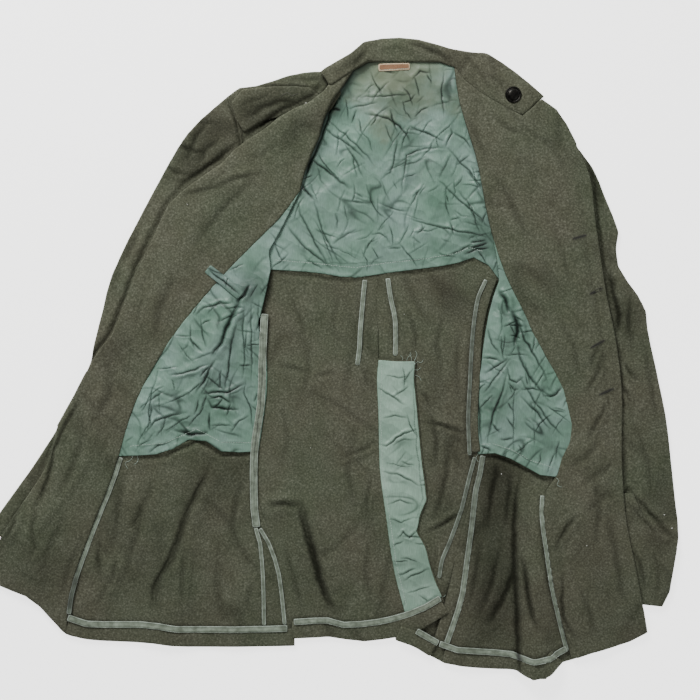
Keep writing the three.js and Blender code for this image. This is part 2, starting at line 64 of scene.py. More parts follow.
# Smooth noise over the plane, about -1 to 1, with lumps of a given size.
def noise(x, y, size, seed):
    table = np.random.default_rng(seed).uniform(0, 2 * math.pi, (128, 128))
    u, v = np.asarray(x) / size + 40.37, np.asarray(y) / size + 40.61
    i, j = np.floor(u).astype(int), np.floor(v).astype(int)
    fu, fv = u - i, v - j
    su, sv = fu * fu * (3 - 2 * fu), fv * fv * (3 - 2 * fv)

    def corner(di, dj):
        angle = table[(j + dj) % 128, (i + di) % 128]
        return np.cos(angle) * (fu - di) + np.sin(angle) * (fv - dj)

    low = corner(0, 0) * (1 - su) + corner(1, 0) * su
    high = corner(0, 1) * (1 - su) + corner(1, 1) * su
    return 1.5 * (low * (1 - sv) + high * sv)


# A point on the cubic curve from start to end, with its speed on leaving and on arriving.
def curve_point(t, start, end, leave, arrive):
    return ((2 * t**3 - 3 * t**2 + 1) * start + (t**3 - 2 * t**2 + t) * leave
            + (3 * t**2 - 2 * t**3) * end + (t**3 - t**2) * arrive)


# Even angles once round, for whatever is turned or ringed.
def turns(count):
    return [2 * math.pi * k / count for k in range(count)]


# Signed distance to a polyline, and how far along it the nearest point lies (0 to 1).
def along_line(x, y, points):
    points = np.asarray(points, float)
    lengths = np.hypot(*(points[1:] - points[:-1]).T)
    total, start = lengths.sum(), 0.0
    best = np.full(x.shape, 1e9)
    side = np.zeros(x.shape)
    share = np.zeros(x.shape)
    for (ax, ay), (bx, by), length in zip(points[:-1], points[1:], lengths):
        dx, dy = (bx - ax) / length, (by - ay) / length
        t = np.clip((x - ax) * dx + (y - ay) * dy, 0, length)
        off_x, off_y = x - ax - t * dx, y - ay - t * dy
        distance = np.hypot(off_x, off_y)
        nearer = distance < best
        best = np.where(nearer, distance, best)
        side = np.where(nearer, np.sign(dx * off_y - dy * off_x), side)
        share = np.where(nearer, (start + t) / total, share)
        start += length
    return best * side, share


# The edge of the strap over the left shoulder, from the collar outward.
STRAP_LINE = [(-6, 380), (-27, 355), (-59, 339), (-79, 328), (-104, 309), (-121, 296), (-136, 286)]
# The pressed edge beside the buttonholes, from the lapel down.
BUTTONHOLE_EDGE = [(336, 262), (344, 190), (357, 95), (369, 25), (377, -45), (377, -140), (381, -215),
                   (394, -285), (408, -355)]

# Creases by piece. A row is: depth, width, then the points it runs through.
# A positive depth is a trough with a lip on its left, a negative one a ridge.
CREASES = {
    "lining_back": [
        (1.6, 1.6, (50, 388), (58, 372), (68, 351)),
        (1.2, 1.6, (20, 337), (38, 341), (60, 346)),
        (2.2, 2.2, (42, 330), (75, 324), (90, 313), (99, 303), (105, 290)),
        (1.8, 2.0, (102, 314), (128, 303), (152, 292)),
        (2.4, 1.8, (153, 284), (140, 284), (125, 283), (112, 280), (100, 274), (96, 255), (92, 215)),
        (1.8, 1.6, (151, 285), (160, 303), (158, 311)),
        (1.8, 1.8, (160, 306), (178, 296), (188, 282)),
        (2.0, 2.0, (152, 285), (168, 270), (182, 254), (203, 224)),
        (1.6, 1.8, (178, 255), (192, 240), (204, 226)),
        (1.8, 1.8, (140, 243), (165, 219), (190, 196), (212, 176)),
        (1.6, 1.6, (168, 228), (186, 204), (198, 168)),
        (2.0, 2.0, (101, 198), (82, 202), (60, 212)),
        (1.8, 1.6, (100, 190), (128, 181), (155, 175), (190, 168), (208, 163)),
        (2.4, 2.4, (180, 148), (194, 151), (210, 157)),
        (2.4, 2.2, (176, 141), (192, 147), (212, 150)),
        (1.8, 1.8, (184, 156), (206, 160)),
        (1.1, 1.5, (82, 200), (72, 187), (60, 172)),
        (1.0, 1.5, (100, 200), (112, 220), (124, 238)),
        (1.5, 1.8, (45, 236), (52, 212), (60, 198), (72, 187)),
        (1.5, 1.6, (88, 157), (101, 141), (116, 123)),
        (2.0, 1.8, (-15, 314), (0, 302), (15, 293), (30, 281), (45, 268)),
        (1.6, 1.6, (-10, 323), (14, 304), (36, 284), (50, 270), (57, 258)),
        (1.6, 1.8, (15, 293), (28, 270), (42, 243)),
        (2.6, 2.4, (-30, 270), (-8, 253), (8, 240), (24, 228)),
        (1.4, 1.6, (-20, 276), (-8, 258), (6, 243)),
        (2.0, 2.2, (-43, 236), (-34, 224), (-25, 213)),
        (2.4, 2.0, (-50, 214), (-42, 192), (-33, 174), (-22, 152), (-4, 121)),
        (2.2, 1.8, (-25, 216), (-18, 184), (-8, 160), (2, 142), (14, 119)),
        (2.4, 2.4, (-63, 181), (-50, 164), (-36, 149), (-20, 137), (0, 119)),
        (1.4, 1.6, (-25, 188), (-14, 168), (-6, 146), (2, 126)),
        (1.2, 1.5, (18, 352), (20, 322)),
        (1.2, 1.8, (33, 325), (41, 302)),
        (1.0, 1.6, (70, 316), (80, 290)),
        (2.6, 2.8, (-2, 338), (10, 336)),
        (1.1, 1.4, (52, 150), (63, 132)),
        (1.2, 1.5, (76, 182), (80, 166), (82, 150)),
        (1.1, 1.6, (50, 169), (62, 170), (76, 160)),
        (1.6, 1.8, (-80, 156), (-66, 128)),
        (1.2, 1.6, (-40, 136), (-14, 121)),
        (0.9, 1.8, (30, 352), (70, 354), (108, 357)),
        (1.2, 2.2, (106, 376), (118, 388), (134, 385)),
        (1.0, 1.4, (93, 344), (104, 348), (112, 358)),
        (1.0, 1.4, (98, 333), (106, 322)),
        (1.2, 1.8, (150, 390), (146, 360), (150, 325)),
        (1.2, 2.0, (62, 240), (78, 252), (84, 275), (86, 300)),
        (1.0, 1.6, (28, 238), (30, 222), (26, 212), (40, 208)),
        (1.0, 1.5, (40, 135), (48, 155), (62, 164)),
        (1.0, 1.5, (110, 176), (103, 162)),
        (-1.2, 7.0, (-40, 205), (10, 240), (44, 262)),
        (2.6, 3.0, (26, 386), (13, 360), (-4, 333), (-17, 294), (-32, 261), (-43, 222)),
        (1.2, 2.6, (168, 388), (175, 350), (189, 302), (200, 264), (212, 200), (221, 160)),
        (-1.6, 9.0, (120, 262), (150, 262), (176, 240)),
        (-1.4, 9.0, (70, 150), (120, 168), (160, 160)),
        (0.5, 1.2, (-76, 134), (-25, 130), (10, 128), (70, 130), (125, 134), (165, 141), (178, 146)),
    ],
    "lining_front_left": [
        (6.0, 5.0, (-122, 88), (-130, 68), (-141, 45), (-150, 22), (-162, 2)),
        (3.2, 3.0, (-158, 0), (-170, -24), (-184, -47)),
        (2.6, 2.2, (-165, -6), (-182, -13), (-200, -19), (-220, -22)),
        (2.4, 2.4, (-164, -9), (-180, -25)),
        (1.6, 1.8, (-163, 4), (-150, 20), (-144, 26)),
        (2.4, 2.2, (-186, 58), (-172, 69), (-155, 73), (-134, 76)),
        (2.2, 2.0, (-195, 28), (-184, 18), (-174, 9)),
        (1.8, 1.8, (-146, -46), (-141, -10), (-135, 25), (-128, 50)),
        (2.4, 2.0, (-176, -48), (-160, -44), (-142, -45), (-118, -33)),
        (2.8, 2.2, (-168, -54), (-163, -65), (-145, -67), (-126, -68)),
        (2.0, 1.8, (-166, -52), (-150, -52), (-136, -60)),
        (4.5, 3.4, (-212, -96), (-190, -102), (-167, -99)),
        (2.4, 2.2, (-167, -70), (-166, -98)),
        (2.0, 1.8, (-252, -95), (-238, -84), (-222, -77), (-196, -72)),
        (1.4, 1.6, (-226, -98), (-212, -88), (-200, -79)),
        (1.8, 1.6, (-234, -10), (-243, -45), (-247, -72), (-245, -86), (-256, -100), (-268, -130)),
        (1.0, 1.5, (-206, -11), (-224, -12), (-238, -14)),
        (1.0, 1.4, (-190, 30), (-214, 31)),
        (1.6, 1.6, (-117, -28), (-120, -46), (-111, -66), (-108, -96)),
        (1.4, 1.6, (-106, -58), (-102, -46)),
        (1.4, 1.5, (-126, -9), (-110, -9)),
        (3.0, 2.6, (-112, 100), (-120, 84), (-130, 76)),
        (2.2, 2.0, (-98, 52), (-103, 36)),
        (1.3, 1.6, (-120, 128), (-140, 118)),
        (1.2, 1.5, (-196, -50), (-176, -30)),
        (1.4, 1.6, (-150, -14), (-152, -40)),
        (1.2, 1.5, (-226, -60), (-206, -52), (-190, -44)),
        (1.2, 1.4, (-196, -92), (-180, -74), (-170, -56)),
        (1.3, 1.5, (-138, -100), (-126, -84), (-112, -76)),
        (1.2, 1.5, (-116, 40), (-118, 14), (-112, 4)),
        (1.4, 1.8, (-178, 56), (-176, 34), (-170, 16)),
        (-2.0, 7.0, (-104, 66), (-112, 20), (-116, -20)),
        (2.2, 1.7, (-118, 72), (-121, 40), (-119, 0), (-122, -30)),
        (2.2, 1.7, (-108, 80), (-111, 50), (-108, 10), (-110, -30)),
        (1.8, 1.7, (-99, 84), (-101, 60), (-98, 30), (-96, -20)),
        (-1.8, 9.0, (-212, 6), (-224, -50), (-240, -104)),
        (0.5, 1.2, (-258, -119), (-224, -114), (-186, -94)),
        (0.5, 1.2, (-150, -113), (-114, -113)),
    ],
    "lining_front_right": [
        (6.0, 4.0, (222, 92), (232, 80), (236, 62)),
        (6.5, 4.6, (240, 66), (247, 50), (248, 38), (243, 14)),
        (3.2, 2.6, (248, 22), (252, 0), (263, -22), (278, -42), (295, -51)),
        (2.6, 2.2, (244, 60), (254, 34), (268, 8), (281, -14), (291, -37)),
        (3.0, 2.4, (281, -49), (292, -50), (300, -47), (308, -36)),
        (1.8, 1.8, (203, 2), (214, 0), (226, -3)),
        (1.6, 1.6, (226, 32), (225, 14), (230, -2)),
        (2.0, 2.0, (239, 2), (224, -18), (208, -40), (200, -48)),
        (2.4, 2.2, (236, -14), (226, -46), (215, -76), (206, -120)),
        (2.2, 1.8, (196, -46), (198, -80), (199, -120)),
        (2.0, 1.8, (234, -11), (239, -27), (248, -31), (256, -24)),
        (1.6, 1.6, (236, -30), (244, -42), (250, -40)),
        (2.0, 1.8, (250, -22), (262, -44), (275, -62), (293, -88), (306, -100), (312, -108)),
        (2.0, 1.8, (252, -50), (264, -62), (276, -75), (292, -95)),
        (1.6, 1.6, (258, -18), (262, -38)),
        (1.4, 1.5, (213, -86), (224, -100)),
        (1.3, 1.5, (233, -78), (240, -88), (246, -96)),
        (1.2, 1.4, (234, -58), (243, -70)),
        (1.0, 1.2, (243, -30), (243, -132)),
        (1.6, 1.6, (300, -122), (292, -140), (287, -154)),
        (1.4, 1.8, (208, 42), (214, 20), (224, 6)),
        (1.6, 2.0, (204, -20), (222, -8), (236, 2)),
        (2.0, 2.0, (197, -117), (208, -121), (214, -126)),
        (-2.0, 6.0, (220, 64), (226, 30), (234, 8)),
        (-2.2, 7.0, (256, 30), (272, 0), (284, -30)),
        (-1.6, 9.0, (270, -90), (282, -126)),
        (0.5, 1.2, (214, -116), (238, -123), (264, -137), (284, -147)),
    ],
    "vent_facing": [
        (3.4, 1.6, (60, -39), (81, -51), (97, -62)),
        (2.4, 1.6, (81, -51), (92, -44), (102, -36)),
        (2.4, 1.5, (94, -11), (97, -26), (95, -40)),
        (3.6, 1.6, (62, -114), (72, -118), (80, -112), (96, -99), (115, -96)),
        (3.4, 1.6, (66, -151), (86, -155), (105, -164), (119, -172)),
        (2.6, 1.4, (92, -137), (101, -141), (109, -144)),
        (3.6, 1.6, (87, -243), (95, -233), (103, -241), (116, -229)),
        (1.2, 1.4, (78, -252), (96, -245)),
        (1.2, 1.4, (80, -272), (101, -273)),
        (1.6, 1.6, (86, -293), (100, -287), (112, -280)),
        (1.8, 1.6, (94, -300), (110, -290), (130, -283)),
        (1.2, 1.4, (66, -80), (84, -76), (100, -80)),
        (1.3, 1.5, (72, -196), (90, -190), (110, -196)),
        (1.2, 1.4, (70, -20), (88, -26), (104, -22)),
        (1.0, 1.4, (74, -214), (92, -220), (110, -214)),
        (0.9, 1.3, (98, -316), (116, -310), (134, -306)),
        (0.9, 1.0, (108, -10), (110, -75), (115, -140), (121, -188), (108, -227)),
    ],
    "back_left": [
        (3.0, 3.2, (-86, 116), (-25, 112), (5, 107), (30, 105), (62, 110)),
        (5.0, 7.0, (-43, -188), (-38, -215), (-31, -242), (-24, -268), (-16, -300), (2, -346)),
        (-2.4, 12.0, (-26, -196), (-14, -250), (0, -320), (12, -345)),
        (3.4, 6.0, (-88, -197), (-65, -196), (-44, -198)),
        (2.4, 5.0, (-76, -8), (-50, -13), (-30, -18)),
        (2.0, 4.0, (-26, -23), (-10, -20), (4, -18)),
        (2.2, 4.0, (33, -10), (43, -20), (48, -42)),
        (1.0, 1.6, (60, 108), (60, 50), (61, 4)),
        (1.8, 6.0, (-60, 90), (-40, 40), (-44, 10)),
        (1.6, 5.0, (10, 95), (0, 50), (6, 10)),
        (2.0, 7.0, (30, -90), (20, -150), (30, -210)),
        (1.8, 6.0, (-70, -60), (-60, -110), (-72, -150)),
        (2.0, 7.0, (50, -230), (44, -290), (52, -340)),
        (2.2, 6.0, (-66, -250), (-52, -300), (-40, -345)),
        (3.0, 4.4, (60, -112), (32, -126), (9, -136)),
        (2.6, 4.6, (51, -158), (45, -193), (43, -225)),
        (-1.4, 9.0, (100, -352), (60, -356), (10, -354)),
        (2.0, 2.4, (47, 106), (44, 75), (40, 25), (41, 2)),
        (2.0, 2.4, (37, 104), (34, 75), (31, 25), (32, 2)),
    ],
    "back_right": [
        (3.0, 3.2, (62, 110), (90, 114), (125, 118), (165, 124), (186, 133), (206, 126)),
        (2.0, 2.4, (69, 106), (70, 95), (79, 50), (79, 5)),
        (2.0, 2.4, (80, 106), (81, 95), (90, 50), (90, 5)),
        (2.4, 6.0, (150, 70), (140, 20), (148, -30)),
        (2.2, 6.0, (170, 40), (166, -10), (170, -60)),
        (3.0, 6.0, (128, -60), (140, -110), (136, -150)),
        (3.0, 6.0, (160, -110), (150, -170), (136, -220)),
        (2.4, 5.0, (100, 70), (112, 30), (108, 4)),
        (3.6, 4.0, (118, -85), (150, -90), (182, -101)),
        (3.2, 3.6, (118, -42), (125, -53), (131, -66)),
        (3.4, 4.0, (124, -235), (150, -222), (175, -206)),
        (2.0, 5.0, (140, -250), (136, -290), (140, -320)),
    ],
    "front_left": [
        (3.4, 3.4, (-286, -135), (-262, -134), (-225, -130), (-183, -110), (-150, -129), (-102, -129)),
        (4.0, 9.0, (-160, -133), (-176, -166), (-195, -200), (-206, -236), (-216, -268), (-234, -292),
         (-243, -340)),
        (2.6, 7.0, (-120, -163), (-130, -190), (-136, -222), (-130, -262)),
        (2.2, 6.0, (-200, -236), (-201, -272), (-205, -344)),
        (2.6, 9.0, (-280, -150), (-290, -200), (-296, -260)),
        (3.2, 4.6, (-312, -232), (-316, -259), (-314, -300)),
        (3.0, 4.6, (-289, -268), (-295, -288), (-300, -304)),
        (3.0, 4.6, (-253, -190), (-261, -211), (-271, -228)),
        (2.4, 8.0, (-240, -160), (-262, -220), (-280, -300)),
        (1.8, 6.0, (-150, -250), (-158, -300), (-154, -345)),
        (1.8, 6.0, (-110, -300), (-116, -345)),
        (-2.0, 12.0, (-255, -150), (-275, -230), (-300, -320)),
        (1.8, 6.0, (-300, -300), (-320, -335)),
    ],
    "facing_left": [
        (3.4, 5.0, (-210, 219), (-172, 228), (-136, 236)),
        (3.0, 5.0, (-166, 231), (-128, 243), (-88, 251)),
        (2.6, 9.0, (-100, 250), (-150, 200), (-190, 150)),
        (2.0, 7.0, (-50, 300), (-62, 285), (-78, 272)),
        (2.4, 9.0, (-210, 120), (-232, 70), (-240, 20)),
        (2.6, 10.0, (-290, 0), (-302, -50), (-330, -100)),
        (2.4, 9.0, (-330, -90), (-352, -150), (-372, -190)),
        (2.6, 9.0, (-356, -200), (-380, -250), (-396, -300)),
        (3.6, 4.6, (-417, -192), (-429, -220), (-444, -256)),
        (3.2, 6.0, (-398, -196), (-404, -226), (-400, -254), (-412, -280)),
        (2.2, 8.0, (-330, -230), (-356, -280), (-370, -330)),
        (1.6, 5.0, (-130, 260), (-160, 240), (-184, 230)),
        (-1.8, 14.0, (-262, 40), (-290, -30), (-330, -60)),
        (-2.0, 12.0, (-400, -220), (-420, -260), (-430, -290)),
        (1.6, 5.0, (-250, 90), (-262, 60), (-268, 34)),
        (1.2, 1.4, (-200, 205), (-190, 209)),
        (1.8, 7.0, (-40, 320), (-80, 285), (-120, 262)),
        (1.4, 5.0, (-300, -100), (-310, -128), (-316, -160)),
        (1.6, 3.2, (-228, 196), (-250, 146), (-262, 116), (-272, 84)),
        (-1.8, 4.0, (-214, 206), (-234, 160), (-254, 112), (-276, 56), (-300, 10), (-320, -24), (-344, -66),
         (-362, -104), (-380, -152), (-408, -200), (-430, -236), (-452, -276)),
    ],
    "front_right": [
        (4.0, 4.0, (197, -133), (215, -131), (240, -139), (265, -153), (286, -163), (298, -163)),
        (4.0, 4.0, (280, -176), (277, -215), (284, -265), (290, -305), (301, -350), (315, -398)),
        (5.0, 7.0, (246, -254), (243, -290), (229, -322), (208, -360)),
        (5.0, 6.0, (252, -262), (258, -290), (262, -320), (268, -348), (276, -366)),
        (3.0, 6.0, (222, -140), (214, -180), (206, -230)),
        (3.0, 6.0, (240, -150), (236, -190), (232, -230)),
        (2.6, 6.0, (200, -240), (192, -290), (180, -340)),
        (2.6, 6.0, (226, -250), (214, -300), (196, -350)),
        (2.0, 5.0, (170, -310), (162, -350), (152, -384)),
    ],
    "facing_right": [
        (4.8, 4.2, (309, -284), (306, -325), (309, -347), (316, -363), (326, -377)),
        (4.6, 4.6, (329, -206), (316, -223), (304, -240), (296, -258)),
        (4.0, 4.6, (374, -52), (363, -69), (353, -87), (342, -110)),
        (3.4, 4.6, (363, 20), (350, 7), (345, -13)),
        (3.4, 4.6, (362, -2), (349, -32), (338, -46)),
        (2.6, 8.0, (380, -131), (358, -153), (332, -169)),
        (2.6, 8.0, (378, -176), (358, -188), (340, -206)),
        (2.4, 7.0, (360, -110), (338, -132), (318, -146)),
        (1.2, 6.0, (230, 300), (262, 262), (300, 240)),
        (2.2, 8.0, (220, 250), (244, 200), (262, 160)),
        (1.2, 6.0, (290, 190), (312, 130), (322, 80)),
        (2.4, 8.0, (350, -150), (356, -200), (350, -260)),
        (2.4, 8.0, (370, -210), (380, -270), (392, -330)),
        (2.2, 7.0, (330, -300), (344, -340), (352, -376)),
        (1.4, 6.0, (276, 300), (300, 276), (318, 240)),
        (1.8, 6.0, (212, 330), (236, 310), (262, 300)),
        (1.6, 4.0, (330, 168), (341, 150), (340, 120)),
        (-1.8, 14.0, (330, -40), (346, -90), (340, -150)),
        (1.8, 6.0, (300, 60), (322, 20), (330, -30)),
        (2.0, 7.0, (180, 330), (196, 290), (210, 262)),
        (-1.6, 4.0, *BUTTONHOLE_EDGE),
        (1.6, 3.0, *[(x - 8, y) for x, y in BUTTONHOLE_EDGE[:6]]),
    ],
    "sleeve_left_upper": [
        (5.0, 5.0, (-124, 296), (-155, 268), (-184, 249), (-213, 227)),
        (2.6, 4.0, (-222, 300), (-196, 282), (-170, 276)),
        (2.6, 4.0, (-236, 268), (-214, 252), (-190, 246)),
        (2.4, 4.0, (-196, 330), (-176, 318), (-150, 316)),
        (4.0, 3.6, (-147, 354), (-131, 320), (-125, 286), (-121, 256)),
        (4.5, 4.0, (-146, 266), (-178, 249), (-211, 225), (-226, 206), (-245, 168), (-267, 121), (-290, 60),
         (-302, 32), (-317, 13), (-331, -9), (-354, -53), (-376, -93), (-381, -121), (-393, -151),
         (-424, -196)),
        (2.6, 6.0, (-160, 330), (-185, 300), (-200, 262)),
        (2.4, 6.0, (-210, 285), (-226, 256)),
        (2.4, 6.0, (-150, 300), (-172, 280), (-182, 255)),
        (2.6, 6.0, (-262, 170), (-284, 128)),
        (2.6, 6.0, (-318, 10), (-350, -46), (-372, -88)),
        (2.0, 5.0, (-380, -104), (-404, -140)),
        (-1.6, 10.0, (-250, 225), (-300, 120)),
    ],
    "sleeve_right_upper": [
        (4.5, 4.0, (322, 312), (339, 273), (352, 241), (357, 191), (371, 96), (377, 66)),
        (1.6, 3.0, (393, -45), (393, -140), (398, -215), (412, -285), (426, -330)),
        (3.4, 6.0, (368, 128), (378, 102), (376, 74)),
        (3.6, 3.6, (390, -3), (399, -16), (408, -29)),
        (3.4, 3.6, (386, -32), (394, -44), (401, -58)),
        (3.0, 3.6, (387, -51), (394, -67)),
        (2.4, 5.0, (385, -90), (388, -106)),
        (3.0, 6.0, (346, 256), (358, 222), (362, 196)),
        (2.6, 6.0, (400, 88), (398, 50), (404, 10)),
        (2.2, 6.0, (420, 20), (430, -40), (436, -90)),
        (3.0, 4.0, (388, -180), (395, -174), (402, -180)),
        (4.4, 3.2, (398, -180), (408, -188), (422, -202), (436, -218), (450, -234), (462, -242)),
        (2.2, 7.0, (408, -90), (424, -140), (430, -190)),
    ],
    "tape_side_left": [
        (1.4, 1.2, (-92, 60), (-95, 0), (-97, -60), (-106, -125), (-106, -198), (-103, -222)),
    ],
    "loop_tab": [
        (1.6, 1.6, (-168, 121), (-146, 104), (-124, 85)),
    ],
    "cuff_right": [
        (3.4, 2.8, (392, -187), (405, -202), (420, -219), (435, -234), (448, -243)),
        (3.6, 4.6, (399, -250), (412, -272), (421, -312)),
        (2.2, 6.0, (430, -250), (438, -290), (434, -325)),
    ],
    "front_left_shoulder": [
        (4.5, 4.5, *STRAP_LINE),
        (3.4, 3.2, (-141, 354), (-125, 320), (-119, 286), (-115, 256)),
        (3.0, 3.4, (-100, 367), (-70, 365), (-20, 363)),
        (2.4, 6.0, (-118, 346), (-96, 352), (-70, 356)),
        (1.6, 3.0, (-50, 376), (-20, 376), (0, 378)),
    ],
    "shoulder_strap_left": [
        (5.0, 4.5, *STRAP_LINE),
        (2.8, 6.0, (-116, 324), (-96, 338), (-74, 346), (-58, 347), (-38, 340)),
        (-2.0, 9.0, (-104, 320), (-84, 332), (-56, 336)),
        (1.8, 4.0, (-128, 340), (-110, 348), (-80, 354)),
    ],
    "collar": [
        (3.4, 5.0, (98, 425), (125, 418), (146, 408), (158, 400)),
        (3.0, 5.0, (48, 416), (36, 404), (28, 391)),
        (2.0, 5.0, (200, 390), (226, 372), (244, 350)),
        (2.0, 6.0, (180, 404), (200, 384), (212, 362)),
        (-2.2, 7.0, (60, 420), (90, 424), (124, 414)),
        (1.4, 2.0, (262, 366), (270, 352), (262, 338)),
        (-2.0, 7.0, (22, 402), (0, 384)),
    ],
}

# How each cloth creases by itself. Waves are rows of height and size. Veins are rows of depth, spacing,
# width and direction. Sharp and tight narrow a crease, dark shades it, and wrinkles are loose ones for each
# square mm. Pitch is the mesh's spacing, thick the cloth, and edge how far in its rounded rim reaches.
WOOL = {"pitch": 3.2, "thick": 1.8, "waves": ((1.8, 80), (0.9, 32), (0.3, 12)),
        "veins": ((0.7, 60, 3.4, 1.25), (0.5, 44, 3.0, -0.9)), "sharp": 0.8,
        "wrinkles": 0, "edge": 3.0, "dark": 0.19, "tight": 0.75}
HIDDEN_WOOL = dict(WOOL, pitch=7.0)
SATIN = {"pitch": 1.32, "thick": 0.7, "waves": ((0.8, 44), (0.5, 17), (0.2, 7)),
         "veins": ((0.7, 34, 0.9, 0.9), (0.5, 22, 0.8, -0.6)), "sharp": 0.55,
         "wrinkles": 0.0030, "edge": 1.0, "dark": 0.9, "tight": 0.92}
FRONT_SATIN = dict(SATIN, wrinkles=0.0046, dark=1.05)
STRIP_SATIN = dict(SATIN, veins=((0.6, 26, 0.8, 0.2),), wrinkles=0.0014, dark=0.95)
TAPE = {"pitch": 1.5, "thick": 0.7, "waves": ((0.4, 20), (0.2, 6)), "veins": (), "sharp": 0.8,
        "wrinkles": 0, "edge": 0.8, "dark": 0.6, "tight": 1.0}

# Steep edges where a fold stands up. A row is: rise, run, then points with the high side on their right.
RIGHT_FOLD = (7.5, 32.0, (254, -470), (252, -424), (250, -340), (247, -282), (246, -230), (248, -186),
              (254, -162), (268, -148))
STEPS = {
    "front_right": [RIGHT_FOLD],
    "hem_front_right": [RIGHT_FOLD],
    "tape_hem_front_right": [RIGHT_FOLD],
    "back_left": [
        (3.2, 22.0, (4, -346), (-9, -318), (-20, -288), (-27, -262), (-35, -236), (-42, -206), (-44, -186)),
    ],
    "facing_left": [
        (2.6, 16.0, (-402, -210), (-380, -160), (-372, -120), (-352, -80), (-330, -44)),
    ],
    "front_left": [
        (3.0, 24.0, (-244, -345), (-240, -308), (-226, -282), (-212, -252), (-202, -222), (-184, -182),
         (-160, -136)),
    ],
    "sleeve_right_upper": [
        (2.4, 16.0, (400, -320), (398, -280), (388, -230), (392, -180)),
        (2.4, 14.0, (384, 30), (388, 60), (378, 96), (372, 126)),
    ],
}

# The deep hollow in the right front, from the lining down to the hem, evenly shaded.
RIGHT_HOLLOW = [(0.22, 28, x, y) for y in range(-362, -140, 36) for x in (202, 230)]

# Soft dark spots added to the painted shade: mostly where the cloth lies deep or turns from the light, and
# on the loop tab and the right side tapes a darker tone of their own. A row is: amount, radius, x, y.
SHADES = {
    "front_right": RIGHT_HOLLOW + [(0.3, 26, 222, -150)],
    "facing_right": [(0.14, 26, 292, 300)],
    "loop_tab": [(0.4, 60, -146, 104)],
    "tape_side_right_front": [(0.34, 40, 188, -140), (0.3, 40, 192, -200), (0.26, 40, 190, -260)],
    "tape_side_right_back": [(0.34, 40, 184, -150), (0.3, 40, 170, -200), (0.3, 40, 150, -260)],
    "tape_side_right_upper": [(0.4, 44, 186, 60), (0.4, 44, 186, 0), (0.4, 44, 184, -60),
                              (0.34, 40, 184, -110)],
    "tape_facing_left": [(0.4, 20, -346, -290), (0.5, 20, -354, -314), (0.5, 14, -358, -332)],
    "back_right": [(0.25, 30, 150, -200), (0.22, 28, 160, -120), (0.2, 24, 150, 90)],
    "front_left": [(0.28, 36, -160, -168), (0.22, 30, -130, -150), (0.16, 30, -240, -300)],
    "back_left": [(0.1, 26, -60, 105), (0.1, 26, 0, 95), (0.14, 24, -36, -260), (0.14, 24, -24, -300)],
    "lining_front_left": [(0.3, 34, -150, -40), (0.2, 28, -140, 10), (0.4, 16, -118, 90),
                          (0.25, 22, -190, -98), (0.4, 24, -104, 104)],
    "vent_facing": [(0.22, 44, 118, -290)],
    "lining_front_right": [(0.25, 20, 238, 60), (0.2, 20, 248, 22), (0.25, 30, 215, -60),
                           (0.2, 20, 280, -100)],
    "lining_back": [(0.45, 20, -28, 262), (0.5, 16, 4, 338), (0.45, 28, 204, 160), (0.3, 20, 100, 300),
                    (0.4, 14, -44, 228), (0.3, 34, 90, 352), (0.3, 34, 160, 346)],
    "sleeve_right_upper": [(0.35, 30, 392, 60), (0.3, 30, 352, 250)],
    "sleeve_left_upper": [(0.3, 30, -200, 262), (0.3, 30, -330, -10), (0.3, 40, -150, 300),
                          (0.25, 40, -190, 300)],
    "front_left_shoulder": [(0.4, 30, -100, 334), (0.45, 34, -56, 350)],
    "shoulder_strap_left": [(0.5, 20, -116, 330), (0.42, 34, -84, 346), (0.4, 30, -44, 354)],
    "collar": [(0.35, 18, 160, 400), (0.3, 16, 30, 396)],
}

# The cloth pieces in the order they are laid: node, cloth, material, then the flat cut's width and length.
LAYERS = [
    ("sleeve_left_under", HIDDEN_WOOL, "melton", 180, 681),
    ("sleeve_right_under", HIDDEN_WOOL, "melton", 186, 681),
    ("sleeve_left_upper", WOOL, "melton", 180, 681),
    ("sleeve_right_upper", WOOL, "melton", 186, 681),
    ("cuff_right", WOOL, "melton", 147, 158),
    ("back_right", WOOL, "melton", 200, 796),
    ("back_left", WOOL, "melton", 246, 780),
    ("lining_back", SATIN, "satin", 292, 317),
    ("front_left_shoulder", WOOL, "melton", 112, 151),
    ("shoulder_strap_left", WOOL, "melton", 54, 118),
    ("lapel_left_turned", HIDDEN_WOOL, "melton", 51, 261),
    ("front_left", WOOL, "melton", 423, 798),
    ("front_right", WOOL, "melton", 291, 816),
    ("lining_front_left", FRONT_SATIN, "satin", 184, 389),
    ("lining_front_right", FRONT_SATIN, "satin", 132, 307),
    ("facing_left", WOOL, "melton", 148, 850),
    ("facing_right", WOOL, "melton", 153, 813),
    ("collar", WOOL, "melton", 82, 301),
    ("vent_facing", STRIP_SATIN, "vent_satin", 63, 343),
    ("hem_front_left", WOOL, "melton", 30, 308),
    ("hem_back_left", WOOL, "melton", 42, 212),
    ("hem_back_right", WOOL, "melton", 22, 53),
    ("hem_front_right", WOOL, "melton", 38, 159),
    ("tape_side_left", TAPE, "binding", 10, 285),
    ("tape_side_left_front", TAPE, "binding", 5, 126),
    ("tape_side_left_back", TAPE, "binding", 5, 128),
    ("tape_centre_left", TAPE, "binding", 5, 107),
    ("tape_centre_right", TAPE, "binding", 5, 105),
    ("allowance_side_right", WOOL, "melton", 14, 237),
    ("tape_side_right_upper", TAPE, "binding", 4, 233),
    ("tape_side_right_front", TAPE, "binding", 6, 243),
    ("tape_side_right_back", TAPE, "binding", 5, 170),
    ("tape_facing_left", TAPE, "binding", 7, 216),
    ("tape_facing_right", TAPE, "binding", 6, 214),
    ("tape_hem_front_left", TAPE, "binding", 7.5, 293),
    ("tape_hem_back_left", TAPE, "binding", 7, 204),
    ("tape_hem_back_right", TAPE, "binding", 7, 30),
    ("tape_hem_front_right", TAPE, "binding", 7, 176),
    ("loop_tab", SATIN, "satin", 12, 57),
    ("neck_label", TAPE, "label", 9, 42),
]


